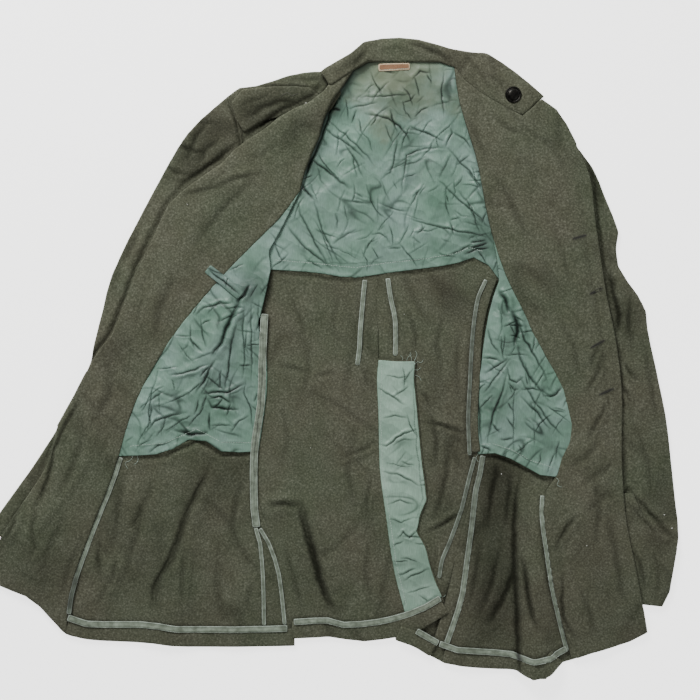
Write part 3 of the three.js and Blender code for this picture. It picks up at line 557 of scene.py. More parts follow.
# An sRGB hex colour in linear values.
def lin(hex_colour):
    values = [int(hex_colour[i:i + 2], 16) / 255 for i in (1, 3, 5)]
    return tuple(v / 12.92 if v <= 0.04045 else ((v + 0.055) / 1.055) ** 2.4 for v in values) + (1,)


# Adds a node with its settings, and joins the links given by input name or number.
def add(tree, kind, links=None, **settings):
    node = tree.nodes.new("ShaderNode" + kind)
    for key, value in settings.items():
        if hasattr(node, key):
            setattr(node, key, value)
        else:
            node.inputs[key.replace("_", " ")].default_value = value
    for key, source in (links or {}).items():
        tree.links.new(source, node.inputs[key])
    return node


def new_material(name, **shader_values):
    material = bpy.data.materials.new(name)
    material.use_nodes = True
    tree = material.node_tree
    shader = tree.nodes["Principled BSDF"]
    for key, value in shader_values.items():
        shader.inputs[key.replace("_", " ")].default_value = value
    place = add(tree, "TexCoord").outputs["Object"]
    return material, tree, shader, place


def ramp(tree, source, *stops):
    node = add(tree, "ValToRGB", {0: source})
    elements = node.color_ramp.elements
    while len(elements) < len(stops):
        elements.new(0.5)
    for element, (position, colour) in zip(elements, stops):
        element.position = position
        element.color = lin(colour)
    return node.outputs["Color"]


def mix(tree, factor, a, b, blend="MIX"):
    node = add(tree, "Mix", data_type="RGBA", blend_type=blend)
    for socket, value in ((0, factor), (6, a), (7, b)):
        if isinstance(value, (int, float, tuple)):
            node.inputs[socket].default_value = value
        else:
            tree.links.new(value, node.inputs[socket])
    return node.outputs[2]


# Noise with lumps of a size in mm.
def speckle(tree, place, size_mm, detail=2.0):
    return add(tree, "TexNoise", {"Vector": place}, Scale=1000 / size_mm, Detail=detail, Roughness=0.6)


# Painted shade: the colour is darkened towards the deepest shade where the cloth lies deep in a fold or
# hollow.
def darken_folds(tree, colour, deepest_shade):
    fold = add(tree, "Attribute", attribute_name="fold").outputs["Fac"]
    shade = ramp(tree, fold, (0.0, "#ffffff"), (1.0, deepest_shade))
    return mix(tree, 1.0, colour, shade, "MULTIPLY")


# Milled wool melton, heathered: dark green, brown and pale fibres felted together, so it is matt with a nap.
# The flecks are 2.4 mm, coarser than the real fibres, so that they show.
def make_melton():
    material, tree, shader, place = new_material(
        "wool_melton", Roughness=0.95, Sheen_Weight=0.08, Sheen_Roughness=0.6, Specular_IOR_Level=0.15)
    shader.inputs["Sheen Tint"].default_value = lin("#b9b8a4")
    flecks = speckle(tree, place, 2.4, 4.0).outputs["Fac"]
    fibres = ramp(tree, flecks, (0.33, "#393b30"), (0.46, "#4f5145"), (0.55, "#5d5f51"), (0.68, "#7b7d6f"))
    patches = speckle(tree, place, 26.0, 3.0).outputs["Fac"]
    cast = ramp(tree, patches, (0.35, "#dadad0"), (0.65, "#ffffff"))
    colour = mix(tree, 0.7, fibres, cast, "MULTIPLY")
    browner = speckle(tree, place, 130.0, 2.0).outputs["Fac"]
    tone = ramp(tree, browner, (0.36, "#4f5a44"), (0.64, "#5b594a"))
    colour = mix(tree, 0.35, colour, tone)
    # Painted shade in folds and hollows darkens the wool.
    tree.links.new(darken_folds(tree, colour, "#6a6a62"), shader.inputs["Base Color"])
    nap = speckle(tree, place, 1.6, 4.0).outputs["Fac"]
    bump = add(tree, "Bump", {"Height": nap}, Strength=0.6, Distance=0.0008)
    tree.links.new(bump.outputs["Normal"], shader.inputs["Normal"])
    return material


# Rows of crumpled facets: size in mm, how much longer than wide, and direction.
FACETS = ((26.0, 2.4, 0.9), (13.0, 2.2, -0.6))


# Crumpled satin: facets stretched along the pull of the cloth. Gives a painted shading that makes each facet
# a little lighter or darker, as if each caught the light differently, and their height.
def crumple(tree, place):
    lumps = add(tree, "TexNoise", {"Vector": place}, Scale=30.0, Detail=3.0)
    bend = add(tree, "VectorMath", {0: lumps.outputs["Color"]}, operation="SCALE", Scale=0.022)
    bent = add(tree, "VectorMath", {0: place, 1: bend.outputs["Vector"]}, operation="ADD")
    painted_facet_shades, heights = [], []
    for size, stretch, turn in FACETS:
        turned = add(tree, "Mapping", {"Vector": bent.outputs["Vector"]}, vector_type="TEXTURE",
                     Rotation=(0, 0, turn), Scale=(stretch, 1.0, 1.0))
        cells = add(tree, "TexVoronoi", {"Vector": turned.outputs["Vector"]}, feature="F1",
                    voronoi_dimensions="2D", Scale=1000 / size)
        painted_facet_shades.append(ramp(tree, cells.outputs["Color"], (0.2, "#f4f4f4"), (0.8, "#ffffff")))
        heights.append(cells.outputs["Distance"])
    height = add(tree, "Math", {0: heights[0], 1: heights[1]}, operation="ADD").outputs["Value"]
    return mix(tree, 1.0, painted_facet_shades[0], painted_facet_shades[1], "MULTIPLY"), height


# Rayon satin lining: long floats give a soft streaky gleam. It is browner where the neck has worn it.
# The real threads are about 0.1 mm apart. They are drawn 0.9 mm apart, so that they show.
def make_satin(name, deep, base, pale, stain):
    material, tree, shader, place = new_material(
        name, Roughness=0.46, Sheen_Weight=0.03, Sheen_Roughness=0.4, Specular_IOR_Level=0.32,
        Anisotropic=0.35)
    cloudy = speckle(tree, place, 60.0, 3.0).outputs["Fac"]
    colour = ramp(tree, cloudy, (0.3, deep), (0.5, base), (0.7, pale))
    stretched = add(tree, "Mapping", {"Vector": place}, Scale=(1.0, 0.12, 1.0))
    threads = add(tree, "TexNoise", {"Vector": stretched.outputs["Vector"]}, Scale=1100.0, Detail=2.0)
    streak = ramp(tree, threads.outputs["Fac"], (0.3, "#e6e6e6"), (0.7, "#ffffff"))
    colour = mix(tree, 1.0, colour, streak, "MULTIPLY")
    if stain:
        spot = add(tree, "VectorMath", {0: place}, operation="DISTANCE")
        spot.inputs[1].default_value = (0.085, 0.392, 0.004)
        wander = speckle(tree, place, 40.0, 3.0).outputs["Fac"]
        edge = add(tree, "Math", {0: spot.outputs["Value"], 1: wander}, operation="MULTIPLY")
        worn = add(tree, "MapRange", {"Value": edge.outputs["Value"]})
        worn.inputs["From Min"].default_value = 0.012
        worn.inputs["From Max"].default_value = 0.045
        worn.inputs["To Min"].default_value = 0.75
        worn.inputs["To Max"].default_value = 0.0
        colour = mix(tree, worn.outputs["Result"], colour, lin("#7d8369"))
    # Painted shading of the crumpled facets.
    painted_facet_shade, height = crumple(tree, place)
    colour = mix(tree, 1.0, colour, painted_facet_shade, "MULTIPLY")
    # Painted shade in folds and hollows darkens the satin.
    tree.links.new(darken_folds(tree, colour, "#2f3a35"), shader.inputs["Base Color"])
    weave = add(tree, "Bump", {"Height": threads.outputs["Fac"]}, Strength=0.25, Distance=0.0003)
    facet_bump = add(tree, "Bump", {"Height": height, "Normal": weave.outputs["Normal"]}, Strength=0.45,
                     Distance=0.0030)
    tree.links.new(facet_bump.outputs["Normal"], shader.inputs["Normal"])
    return material


# Ribbed rayon tape, with paler woven edges. Its ribs are drawn 1.7 mm apart, coarser than they are.
def make_binding():
    material, tree, shader, place = new_material("rayon_tape", Roughness=0.6, Sheen_Weight=0.2)
    edge = add(tree, "Attribute", attribute_name="from_edge").outputs["Fac"]
    worn = ramp(tree, edge, (0.0, "#b3bfb2"), (0.16, "#a4b1a3"), (0.30, "#6e7a69"), (0.55, "#8c9987"))
    grain = speckle(tree, place, 9.0, 5.0).outputs["Fac"]
    shade = ramp(tree, grain, (0.35, "#9a9a92"), (0.65, "#ffffff"))
    colour = mix(tree, 0.8, worn, shade, "MULTIPLY")
    # Painted shade in folds and hollows darkens the tape.
    tree.links.new(darken_folds(tree, colour, "#2c302a"), shader.inputs["Base Color"])
    ribs = add(tree, "TexWave", {"Vector": place}, bands_direction="DIAGONAL", Scale=260.0, Distortion=1.0)
    bump = add(tree, "Bump", {"Height": ribs.outputs["Fac"]}, Strength=0.3, Distance=0.0003)
    tree.links.new(bump.outputs["Normal"], shader.inputs["Normal"])
    return material


# Woven cotton label, blank, with cream edges over a brown middle.
def make_label():
    material, tree, shader, place = new_material("cotton_label", Roughness=0.85)
    edge = add(tree, "Attribute", attribute_name="from_edge").outputs["Fac"]
    bands = ramp(tree, edge, (0.0, "#e8d3b4"), (0.22, "#dcc3a0"), (0.34, "#8a6a4e"), (0.6, "#946f52"))
    grain = speckle(tree, place, 1.2, 2.0).outputs["Fac"]
    shade = ramp(tree, grain, (0.35, "#c8c0b8"), (0.65, "#ffffff"))
    tree.links.new(mix(tree, 0.7, bands, shade, "MULTIPLY"), shader.inputs["Base Color"])
    return material


# Brass blackened by chemicals, with paler patches where it is rubbed.
def make_blackened():
    material, tree, shader, place = new_material("blackened_brass", Metallic=0.85, Roughness=0.38)
    wear = speckle(tree, place, 3.0, 3.0).outputs["Fac"]
    tree.links.new(ramp(tree, wear, (0.4, "#141412"), (0.7, "#2c2a26")), shader.inputs["Base Color"])
    return material


# Plain cotton thread. The same maker gives the near-black sheet of painted shadow in the buttonhole slits.
def make_thread(name, colour):
    material, tree, shader, place = new_material(name, Roughness=0.8, Sheen_Weight=0.2)
    twist = speckle(tree, place, 0.8, 2.0).outputs["Fac"]
    tree.links.new(ramp(tree, twist, (0.3, colour[0]), (0.7, colour[1])), shader.inputs["Base Color"])
    return material


MATERIALS = {
    "melton": make_melton(),
    "satin": make_satin("rayon_satin", "#6c8f7b", "#7d9d8c", "#8faba0", True),
    "vent_satin": make_satin("rayon_satin_pale", "#86a692", "#96b5a1", "#a7c4b1", False),
    "binding": make_binding(),
    "label": make_label(),
    "blackened": make_blackened(),
    "wool_thread": make_thread("cotton_thread_drab", ("#2c2d24", "#4a4b3c")),
    # The buttonhole slits: near-black, painted shadow in the openings.
    "slit": make_thread("painted_slit_shadow", ("#14150f", "#26271f")),
    "lint": make_thread("cotton_lint", ("#cfcfc8", "#ecece6")),
    "pale_thread": make_thread("cotton_thread_pale", ("#93a89a", "#b9c9bd")),
}


def points_of(mesh):
    points = np.empty(len(mesh.vertices) * 3)
    mesh.vertices.foreach_get("co", points)
    return points.reshape(-1, 3) / MM


# The top faces of a CAD node: points in mm, triangles, and the outline they have from above.
def top_of(node_name):
    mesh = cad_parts[node_name].data
    points = points_of(mesh)
    mesh.calc_loop_triangles()
    triangles = np.empty(len(mesh.loop_triangles) * 3, int)
    mesh.loop_triangles.foreach_get("vertices", triangles)
    triangles = triangles.reshape(-1, 3)
    _, first, inverse = np.unique(np.round(points, 2), axis=0, return_index=True, return_inverse=True)
    points, triangles = points[first], inverse.reshape(-1)[triangles]
    a, b, c = (points[triangles[:, k]] for k in range(3))
    normal = np.cross(b - a, c - a)
    size = np.linalg.norm(normal, axis=1)
    up = normal[:, 2] > 0.2 * np.maximum(size, 1e-9)
    triangles = triangles[up & (size > 1e-6)]
    return points, triangles, outline_of(points, triangles)


# The longest loop of edges that only one triangle has.
def outline_of(points, triangles):
    edges = {}
    for tri in triangles.tolist():
        for a, b in zip(tri, tri[1:] + tri[:1]):
            edges[(a, b)] = True
    follow = {}
    for a, b in edges:
        if (b, a) not in edges:
            follow.setdefault(a, []).append(b)
    best = []
    while follow:
        start = next(iter(follow))
        loop, here = [start], follow[start].pop()
        if not follow[start]:
            del follow[start]
        while here != start and here in follow:
            loop.append(here)
            after = follow[here].pop()
            if not follow[here]:
                del follow[here]
            here = after
        if len(loop) > len(best):
            best = loop
    return points[best, :2]


# An outline with a point about every step, rounded a little between its corners.
def finer_outline(outline, step):
    keep = [outline[0]]
    for point in outline[1:]:
        if np.hypot(*(point - keep[-1])) > 0.8:
            keep.append(point)
    outline = np.array(keep)
    before, after = np.roll(outline, 1, 0), np.roll(outline, -1, 0)
    a, b = outline - before, after - outline
    turn = np.abs(np.arctan2(a[:, 0] * b[:, 1] - a[:, 1] * b[:, 0], (a * b).sum(1)))
    corner = turn > 0.75
    made = []
    count = len(outline)
    for i in range(count):
        p0, p1 = outline[i - 1], outline[i]
        p2, p3 = outline[(i + 1) % count], outline[(i + 2) % count]
        m1 = (p2 - p1) if corner[i] else (p2 - p0) / 2
        m2 = (p2 - p1) if corner[(i + 1) % count] else (p3 - p1) / 2
        length = np.hypot(*(p2 - p1))
        m1 = m1 * min(1, length / max(np.hypot(*m1), 1e-6))
        m2 = m2 * min(1, length / max(np.hypot(*m2), 1e-6))
        pieces = max(1, round(length / step))
        for k in range(pieces):
            made.append(curve_point(k / pieces, p1, p2, m1, m2))
    return np.array(made)


# The outline moved in by a distance, or out by a negative one.
def moved_inward(outline, distance):
    before, after = np.roll(outline, 1, 0), np.roll(outline, -1, 0)
    along = after - before
    along /= np.maximum(np.hypot(*along.T), 1e-9)[:, None]
    area = np.sum(outline[:, 0] * after[:, 1] - outline[:, 1] * after[:, 0])
    left = np.stack([-along[:, 1], along[:, 0]], 1) * (1 if area > 0 else -1)
    return outline + left * distance


# Fills the height map's cells that a mesh covers from above.
def rasterise(points, triangles):
    heights = np.full((ROWS, COLUMNS), np.nan)
    for tri in triangles:
        a, b, c = points[tri]
        low_i = int((min(a[0], b[0], c[0]) + HALF_X) / CELL)
        high_i = int((max(a[0], b[0], c[0]) + HALF_X) / CELL) + 2
        low_j = int((min(a[1], b[1], c[1]) + HALF_Y) / CELL)
        high_j = int((max(a[1], b[1], c[1]) + HALF_Y) / CELL) + 2
        x = np.arange(low_i, high_i) * CELL - HALF_X
        y = (np.arange(low_j, high_j) * CELL - HALF_Y)[:, None]
        area = (b[0] - a[0]) * (c[1] - a[1]) - (b[1] - a[1]) * (c[0] - a[0])
        if abs(area) < 1e-4:
            continue
        u = ((b[0] - x) * (c[1] - y) - (b[1] - y) * (c[0] - x)) / area
        v = ((c[0] - x) * (a[1] - y) - (c[1] - y) * (a[0] - x)) / area
        w = 1 - u - v
        inside = (u > -1e-6) & (v > -1e-6) & (w > -1e-6)
        patch = heights[low_j:high_j, low_i:high_i]
        value = u * a[2] + v * b[2] + w * c[2]
        patch[inside] = value[inside]
    return heights


# Soft average over a radius, counting only the cells that have weight.
def blur(values, weights, radius):
    reach = int(2.5 * radius / CELL)
    kernel = np.exp(-0.5 * (np.arange(-reach, reach + 1) * CELL / radius) ** 2)

    def pass_over(data, axis):
        return np.apply_along_axis(lambda row: np.convolve(row, kernel, "same"), axis, data)

    total = pass_over(pass_over(values * weights, 0), 1)
    share = pass_over(pass_over(weights, 0), 1)
    return total / np.maximum(share, 1e-6)


# Spreads high cells over their neighbours, one cell further at each step.
def spread_high(values, steps):
    for _ in range(steps):
        padded = np.pad(values, 1, mode="edge")
        values = np.maximum.reduce([padded[1:-1, 1:-1], padded[:-2, 1:-1], padded[2:, 1:-1],
                                    padded[1:-1, :-2], padded[1:-1, 2:]])
    return values


# A height map's value at any point. The window is the map's first row and column.
def sample(grid, x, y, window):
    low_j, low_i = window
    u = np.clip((x + HALF_X) / CELL - low_i, 0, grid.shape[1] - 1.001)
    v = np.clip((y + HALF_Y) / CELL - low_j, 0, grid.shape[0] - 1.001)
    i, j = u.astype(int), v.astype(int)
    fu, fv = u - i, v - j
    low = grid[j, i] * (1 - fu) + grid[j, i + 1] * fu
    high = grid[j + 1, i] * (1 - fu) + grid[j + 1, i + 1] * fu
    return low * (1 - fv) + high * fv


def distance_to_outline(x, y, outline):
    best = np.full(x.shape, 1e9)
    for a, b in zip(outline, np.roll(outline, -1, 0)):
        dx, dy = b - a
        t = np.clip(((x - a[0]) * dx + (y - a[1]) * dy) / max(dx * dx + dy * dy, 1e-9), 0, 1)
        best = np.minimum(best, np.hypot(x - a[0] - t * dx, y - a[1] - t * dy))
    return best


def inside_outline(x, y, outline):
    inside = np.zeros(x.shape, bool)
    for a, b in zip(outline, np.roll(outline, -1, 0)):
        if a[1] == b[1]:
            continue
        crosses = (a[1] > y) != (b[1] > y)
        inside ^= crosses & (x < a[0] + (y - a[1]) * (b[0] - a[0]) / (b[1] - a[1]))
    return inside


# The relief of one crease, fading at both ends: a ridge, or a trough between a high lip on its left and a
# low one on its right. Also how closed it is.
def crease_relief(x, y, sharp, depth, width, *points):
    distance, share = along_line(x, y, points)
    fade = np.sin(np.pi * np.clip(share, 0, 1)) ** 0.7
    if depth < 0:
        return -depth * np.exp(-(distance / width) ** 2) * fade, np.zeros(x.shape)
    closed = np.exp(-(distance / (sharp * width)) ** 2) * fade
    lip = np.exp(-((distance - 1.6 * width) / (1.3 * width)) ** 2)
    far_lip = np.exp(-((distance + 2.1 * width) / (1.9 * width)) ** 2)
    return depth * (fade * (0.7 * lip + 0.35 * far_lip) - 0.75 * closed), closed


# Short broken creases that wander over slack cloth, along the zero lines of a stretched noise.
def vein_relief(x, y, depth, lump, width, turn, seed):
    along = (x * math.cos(turn) + y * math.sin(turn)) / 2.6
    across = y * math.cos(turn) - x * math.sin(turn)
    away = noise(along, across, lump, seed) * lump * 0.55
    broken = np.clip(2.4 * noise(x, y, 2.4 * lump, seed + 50), 0, 1)
    closed = np.exp(-(away / width) ** 2) * broken
    lip = np.exp(-((away - 1.9 * width) / (1.7 * width)) ** 2) * broken
    return depth * (0.55 * lip - closed), closed


# Where a fold stands up: steep at the line, easing down to its right. Also the strip in its shade on the
# left, and how far the cloth there is pressed down.
def step_relief(x, y, rise, run, *points):
    distance, share = along_line(x, y, points)
    fade = np.clip(np.minimum(share, 1 - share) * 5, 0, 1)
    inward = -distance
    up = 1 / (1 + np.exp(-np.clip(inward / 1.3, -30, 30)))
    beside = fade * np.exp(-((inward + 2.6) / 3.2) ** 2)
    pressed = fade * (1 - up) * np.exp(-(np.minimum(inward, 0) / 20) ** 2)
    return fade * rise * up * np.exp(-(np.maximum(inward, 0) / run) ** 2), beside, pressed


# Short wrinkles at seeded places, which the loose satin has all over.
def loose_wrinkles(name, area, density, outline):
    draw = np.random.default_rng(sum(map(ord, name)))
    low, high = outline.min(0), outline.max(0)
    made = []
    for _ in range(int(area * density)):
        x, y = draw.uniform(low, high)
        angle = draw.normal(0.9, 0.9)
        length = draw.uniform(12, 42)
        bend = draw.normal(0, 0.22)
        half = length / 2
        middle = (x + half * math.cos(angle), y + half * math.sin(angle))
        end = (middle[0] + half * math.cos(angle + bend), middle[1] + half * math.sin(angle + bend))
        made.append((draw.uniform(0.3, 1.3), draw.uniform(1.1, 2.0), (x, y), middle, end))
    return made


def is_wool(cloth):
    return cloth["thick"] > 1


# Neighbours meet in the scene, so that no light comes up between them.
SEAM_OVERLAP = 0.8
# Cells kept round a piece in its own height maps, and how many of them the ground beside it reaches over it.
MARGIN = 14
REACH_OF_GROUND = 4
# How far the solid's steps are smoothed out in wool and in thin cloth.
SOFTEN_WOOL, SOFTEN_THIN = 9.0, 5.0
# A crease wider than this is narrowed by how tightly its cloth creases.
NARROW_CREASE = 3.0
# Each layer stays this far above what it lies on, and comes down onto it over a softness.
CLEARANCE = 0.1
SOFTNESS = 0.8


class Layer:
    """One piece of cloth: its outline from above, and the height of its top at any point."""

    def __init__(self, name, cloth):
        self.name, self.cloth = name, cloth
        points, triangles, rough = top_of(name)
        self.outline = moved_inward(finer_outline(rough, max(1.6, min(cloth["pitch"], 3.0))), -SEAM_OVERLAP)
        heights = rasterise(points, triangles)
        covered = ~np.isnan(heights)
        rows, columns = np.where(covered.any(1))[0], np.where(covered.any(0))[0]
        self.window = (max(0, rows[0] - MARGIN), max(0, columns[0] - MARGIN))
        self.part = (slice(self.window[0], rows[-1] + MARGIN), slice(self.window[1], columns[-1] + MARGIN))
        self.covered = covered[self.part]
        cad = np.where(self.covered, np.nan_to_num(heights[self.part]), 0)
        self.base = blur(cad, self.covered.astype(float), SOFTEN_WOOL if is_wool(cloth) else SOFTEN_THIN)
        self.under = spread_high(np.where(self.covered, ground[self.part], 0), 1)
        self.beside = spread_high(np.where(self.covered, 0, ground[self.part]), REACH_OF_GROUND)
        self.rest = self.under
        if is_wool(cloth):
            bridged = blur(spread_high(self.under, 5), np.ones(self.under.shape), 5.0)
            self.rest = np.maximum(self.under, bridged)
        self.area = self.covered.sum() * CELL * CELL
        self.creases = list(CREASES.get(name, []))
        self.creases += loose_wrinkles(name, self.area, cloth["wrinkles"], self.outline)

    # Height of the top at each point, and how much painted shade it gets from folds, steps and dark spots.
    def relief(self, x, y):
        z = sample(self.base, x, y, self.window)
        lowest = sample(self.rest, x, y, self.window) + self.cloth["thick"] + CLEARANCE
        fold = np.zeros(x.shape)
        wander_x = x + 1.4 * noise(x, y, 14, 5) + 0.5 * noise(x, y, 5, 6)
        wander_y = y + 1.4 * noise(x, y, 14, 7) + 0.5 * noise(x, y, 5, 8)
        for number, (size, lump) in enumerate(self.cloth["waves"]):
            z = z + size * noise(x, y, lump, len(self.name) + 11 * number)
        for depth, width, *points in self.creases:
            width = max(min(width, NARROW_CREASE), width * self.cloth["tight"])
            spread = 4 * width + 3
            low, high = np.min(points, 0) - spread, np.max(points, 0) + spread
            near = (wander_x > low[0]) & (wander_x < high[0]) & (wander_y > low[1]) & (wander_y < high[1])
            if near.any():
                x_near, y_near = wander_x[near], wander_y[near]
                rise, closed = crease_relief(x_near, y_near, self.cloth["sharp"], depth, width, *points)
                z[near] += rise
                fold[near] = np.maximum(fold[near], closed * min(1.0, depth * self.cloth["dark"]))
        for rise_by, run, *points in STEPS.get(self.name, []):
            rise, beside, pressed = step_relief(wander_x, wander_y, rise_by, run, *points)
            z = lowest + (z - lowest) * (1 - 0.85 * pressed) + rise
            fold = np.maximum(fold, 0.95 * beside)
        for number, (depth, lump, width, turn) in enumerate(self.cloth["veins"]):
            rise, closed = vein_relief(x, y, depth, lump, width, turn, len(self.name) + 31 * number)
            z += rise
            fold = np.maximum(fold, min(0.65, 1.6 * self.cloth["dark"]) * closed)
        for amount, radius, at_x, at_y in SHADES.get(self.name, []):
            fold = fold + amount * np.exp(-((x - at_x) ** 2 + (y - at_y) ** 2) / radius ** 2)
        gap = np.clip((z - lowest) / SOFTNESS, -30, 30)
        return lowest + SOFTNESS * np.log1p(np.exp(gap)), np.clip(fold, 0, 1)

    def height(self, x, y):
        return self.relief(x, y)[0]

    # Raises the height map to this piece's top, for what is laid on it next.
    def settle(self):
        j, i = np.where(self.covered)
        x = (i + self.window[1]) * CELL - HALF_X
        y = (j + self.window[0]) * CELL - HALF_Y
        z = self.height(x.astype(float), y.astype(float))
        ground[self.part][j, i] = np.maximum(ground[self.part][j, i], z)


# Pieces under this area in square mm, such as tapes and tabs, keep their edges level.
SMALL_PIECE = 5000
# Cloth counts as lying beside an edge from this height, and the edge comes down from this far above it.
LOWEST_CLOTH = 0.8
RAISED = 1.6


# An edge that stands above other cloth comes down onto it, so that no floor shows from the side.
def closed_edges(layer, x, y, z, fold, depth):
    beside = sample(layer.beside, x, y, layer.window)
    down_to = beside + CLEARANCE
    on_rim = (depth < 0.02) & (layer.area > SMALL_PIECE)
    lowered = on_rim & (beside > LOWEST_CLOTH) & (z > down_to + RAISED)
    # The lowered rim gets painted shade.
    return np.where(lowered, down_to, z), np.where(lowered, np.maximum(fold, 0.7), fold)


# Points of a piece's mesh: its outline, two rings just inside it, and a triangular grid within them.
def mesh_points(outline, pitch, edge):
    low, high = outline.min(0), outline.max(0)
    rows = []
    for k, y in enumerate(np.arange(low[1], high[1], pitch * 0.866)):
        x = np.arange(low[0] + (k % 2) * pitch / 2, high[0], pitch)
        rows.append(np.stack([x, np.full(len(x), y)], 1))
    inner = np.concatenate(rows)
    inner = inner[inside_outline(inner[:, 0], inner[:, 1], outline)]
    inner_depth = distance_to_outline(inner[:, 0], inner[:, 1], outline)
    rings = []
    for distance in (edge * 0.3, edge):
        ring = moved_inward(outline, distance)
        ring_depth = distance_to_outline(ring[:, 0], ring[:, 1], outline)
        rings.append(ring[(ring_depth > distance * 0.9) & inside_outline(ring[:, 0], ring[:, 1], outline)])
    return np.concatenate([outline, *rings, inner[inner_depth > edge + pitch * 0.45]])


# A mesh object on the body, with its material and slot. Its points are in metres.
def add_mesh(name, points, faces, material):
    mesh = bpy.data.meshes.new(name)
    mesh.from_pydata([tuple(p) for p in points], [], faces)
    mesh.update()
    mesh.shade_smooth()
    mesh.materials.append(MATERIALS[material])
    piece = bpy.data.objects.new(name, mesh)
    bpy.context.scene.collection.objects.link(piece)
    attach(piece, BODY)
    return piece


def add_values(mesh, name, values):
    attribute = mesh.attributes.new(name, "FLOAT", "POINT")
    attribute.data.foreach_set("value", values.astype(np.float32))


# Lays one piece of cloth on the pieces below it, in place of its node.
def lay(name, cloth, material, flat_width, flat_length):
    layer = Layer(name, cloth)
    outline, edge = layer.outline, cloth["edge"]
    points = mesh_points(outline, cloth["pitch"], edge)
    loop = [(k, (k + 1) % len(outline)) for k in range(len(outline))]
    flat, _, faces, *_ = delaunay_2d_cdt([Vector(p) for p in points], loop, [], 1, 1e-4)
    flat = np.array([(p.x, p.y) for p in flat])
    x, y = flat[:, 0].copy(), flat[:, 1].copy()
    depth = distance_to_outline(x, y, outline)
    z, fold = layer.relief(x, y)
    share = np.clip(depth / edge, 0, 1)
    z -= cloth["thick"] * 0.55 * (1 - np.sqrt(1 - (1 - share) ** 2))
    z, fold = closed_edges(layer, x, y, z, fold, depth)
    piece = add_mesh("cloth_" + name, np.stack([x, y, z], 1) * MM, [list(f) for f in faces], material)
    mesh = piece.data
    if np.mean([p.normal.z for p in mesh.polygons[:50]]) < 0:
        mesh.flip_normals()
    add_values(mesh, "from_edge", np.clip(depth / 5.0, 0, 1))
    # How much painted shade each point gets.
    add_values(mesh, "fold", fold)
    solid = piece.modifiers.new("thickness", "SOLIDIFY")
    solid.thickness = cloth["thick"] * 0.8 * MM
    solid.offset = -1
    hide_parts(name)
    layer.settle()
    return layer


layers = {}
for row in LAYERS:
    layers[row[0]] = lay(*row)


# Radii of the shade in a hollow and beside a tape, and the depth at which a hollow is fully in shade.
HOLLOW_RADIUS, TAPE_RADIUS, FULL_SHADE = 4.5, 2.6, 4.5


# Cloth that lies close beside something higher is in its shade, and so is wool beside a tape.
def shade_hollows():
    around = blur(ground, np.ones(ground.shape), HOLLOW_RADIUS)
    taped = np.zeros(ground.shape)
    for name, layer in layers.items():
        if layer.cloth is TAPE:
            taped[layer.part] = np.maximum(taped[layer.part], layer.covered)
    taped = blur(taped, np.ones(ground.shape), TAPE_RADIUS)
    for name in layers:
        mesh = bpy.data.objects["cloth_" + name].data
        x, y, z = points_of(mesh).T
        deep = np.clip((sample(around, x, y, (0, 0)) - z - 0.5) / FULL_SHADE, 0, 1)
        if layers[name].cloth is WOOL:
            deep = np.maximum(deep, 0.8 * sample(taped, x, y, (0, 0)))
        fold = np.empty(len(x))
        mesh.attributes["fold"].data.foreach_get("value", fold)
        mesh.attributes["fold"].data.foreach_set("value", np.maximum(fold, 0.9 * deep).astype(np.float32))


shade_hollows()


# The stud on the collar: a plain domed disc with a turned rim and groove.
def make_stud():
    low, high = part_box("collar_stud")
    middle = ((low.x + high.x) / 2, (low.y + high.y) / 2)
    radius = (high.x - low.x) / 2 / MM
    tall = (high.z - low.z) / MM
    # Share of the radius, and of the height.
    profile = [(1.0, 0.0), (1.0, 0.30), (0.95, 0.42), (0.86, 0.42), (0.81, 0.30), (0.74, 0.30), (0.70, 0.50),
               (0.60, 0.74), (0.45, 0.90), (0.25, 0.98), (0.0, 1.0)]
    sides = 56
    points, faces = [], []
    for share, rise in profile[:-1]:
        for angle in turns(sides):
            points.append((middle[0] + radius * share * math.cos(angle) * MM,
                           middle[1] + radius * share * math.sin(angle) * MM, low.z + tall * rise * MM))
    points.append((middle[0], middle[1], low.z + tall * MM))
    for ring in range(len(profile) - 2):
        for k in range(sides):
            a, b = ring * sides + k, ring * sides + (k + 1) % sides
            faces.append((a, b, b + sides, a + sides))
    last = (len(profile) - 2) * sides
    for k in range(sides):
        faces.append((last + k, last + (k + 1) % sides, len(points) - 1))
    faces.append(tuple(range(sides))[::-1])
    stud = add_mesh("stud", points, faces, "blackened")
    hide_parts("collar_stud")


make_stud()


# Lays bars of thread on a layer, each a low ridge between two ends.
def add_bars(name, layer, ends, half_width, lift, material):
    corners, middles = [], []
    for start, end in ends:
        start, end = np.array(start, float), np.array(end, float)
        along = (end - start) / np.hypot(*(end - start))
        side = np.array([-along[1], along[0]]) * half_width
        corners += [start - side, start + side, end + side, end - side]
        middles.append((start + end) / 2)
    corners = np.array(corners)
    heights = layer.height(corners[:, 0].copy(), corners[:, 1].copy()).reshape(-1, 4)
    points, faces = [], []
    for k, middle in enumerate(middles):
        for (x, y), z in zip(corners[4 * k:4 * k + 4], heights[k]):
            points.append((x * MM, y * MM, (z + 0.05) * MM))
        points.append((middle[0] * MM, middle[1] * MM, (heights[k].max() + lift) * MM))
        faces += [(5 * k + (n + 1) % 4, 5 * k + n, 5 * k + 4) for n in range(4)]
    return add_mesh(name, points, faces, material)


# Buttonholes on the wearer's left front: the two ends of each slit.
BUTTONHOLES = [
    ((322, 161), (340, 166)),
    ((345, 87), (361, 95)),
    ((346, 15), (364, 25)),
    ((358, -48), (376, -40)),
]
STITCHES_ROUND_SLIT = 44
SLIT_POINTS = 24
SLIT_HALF = 1.2
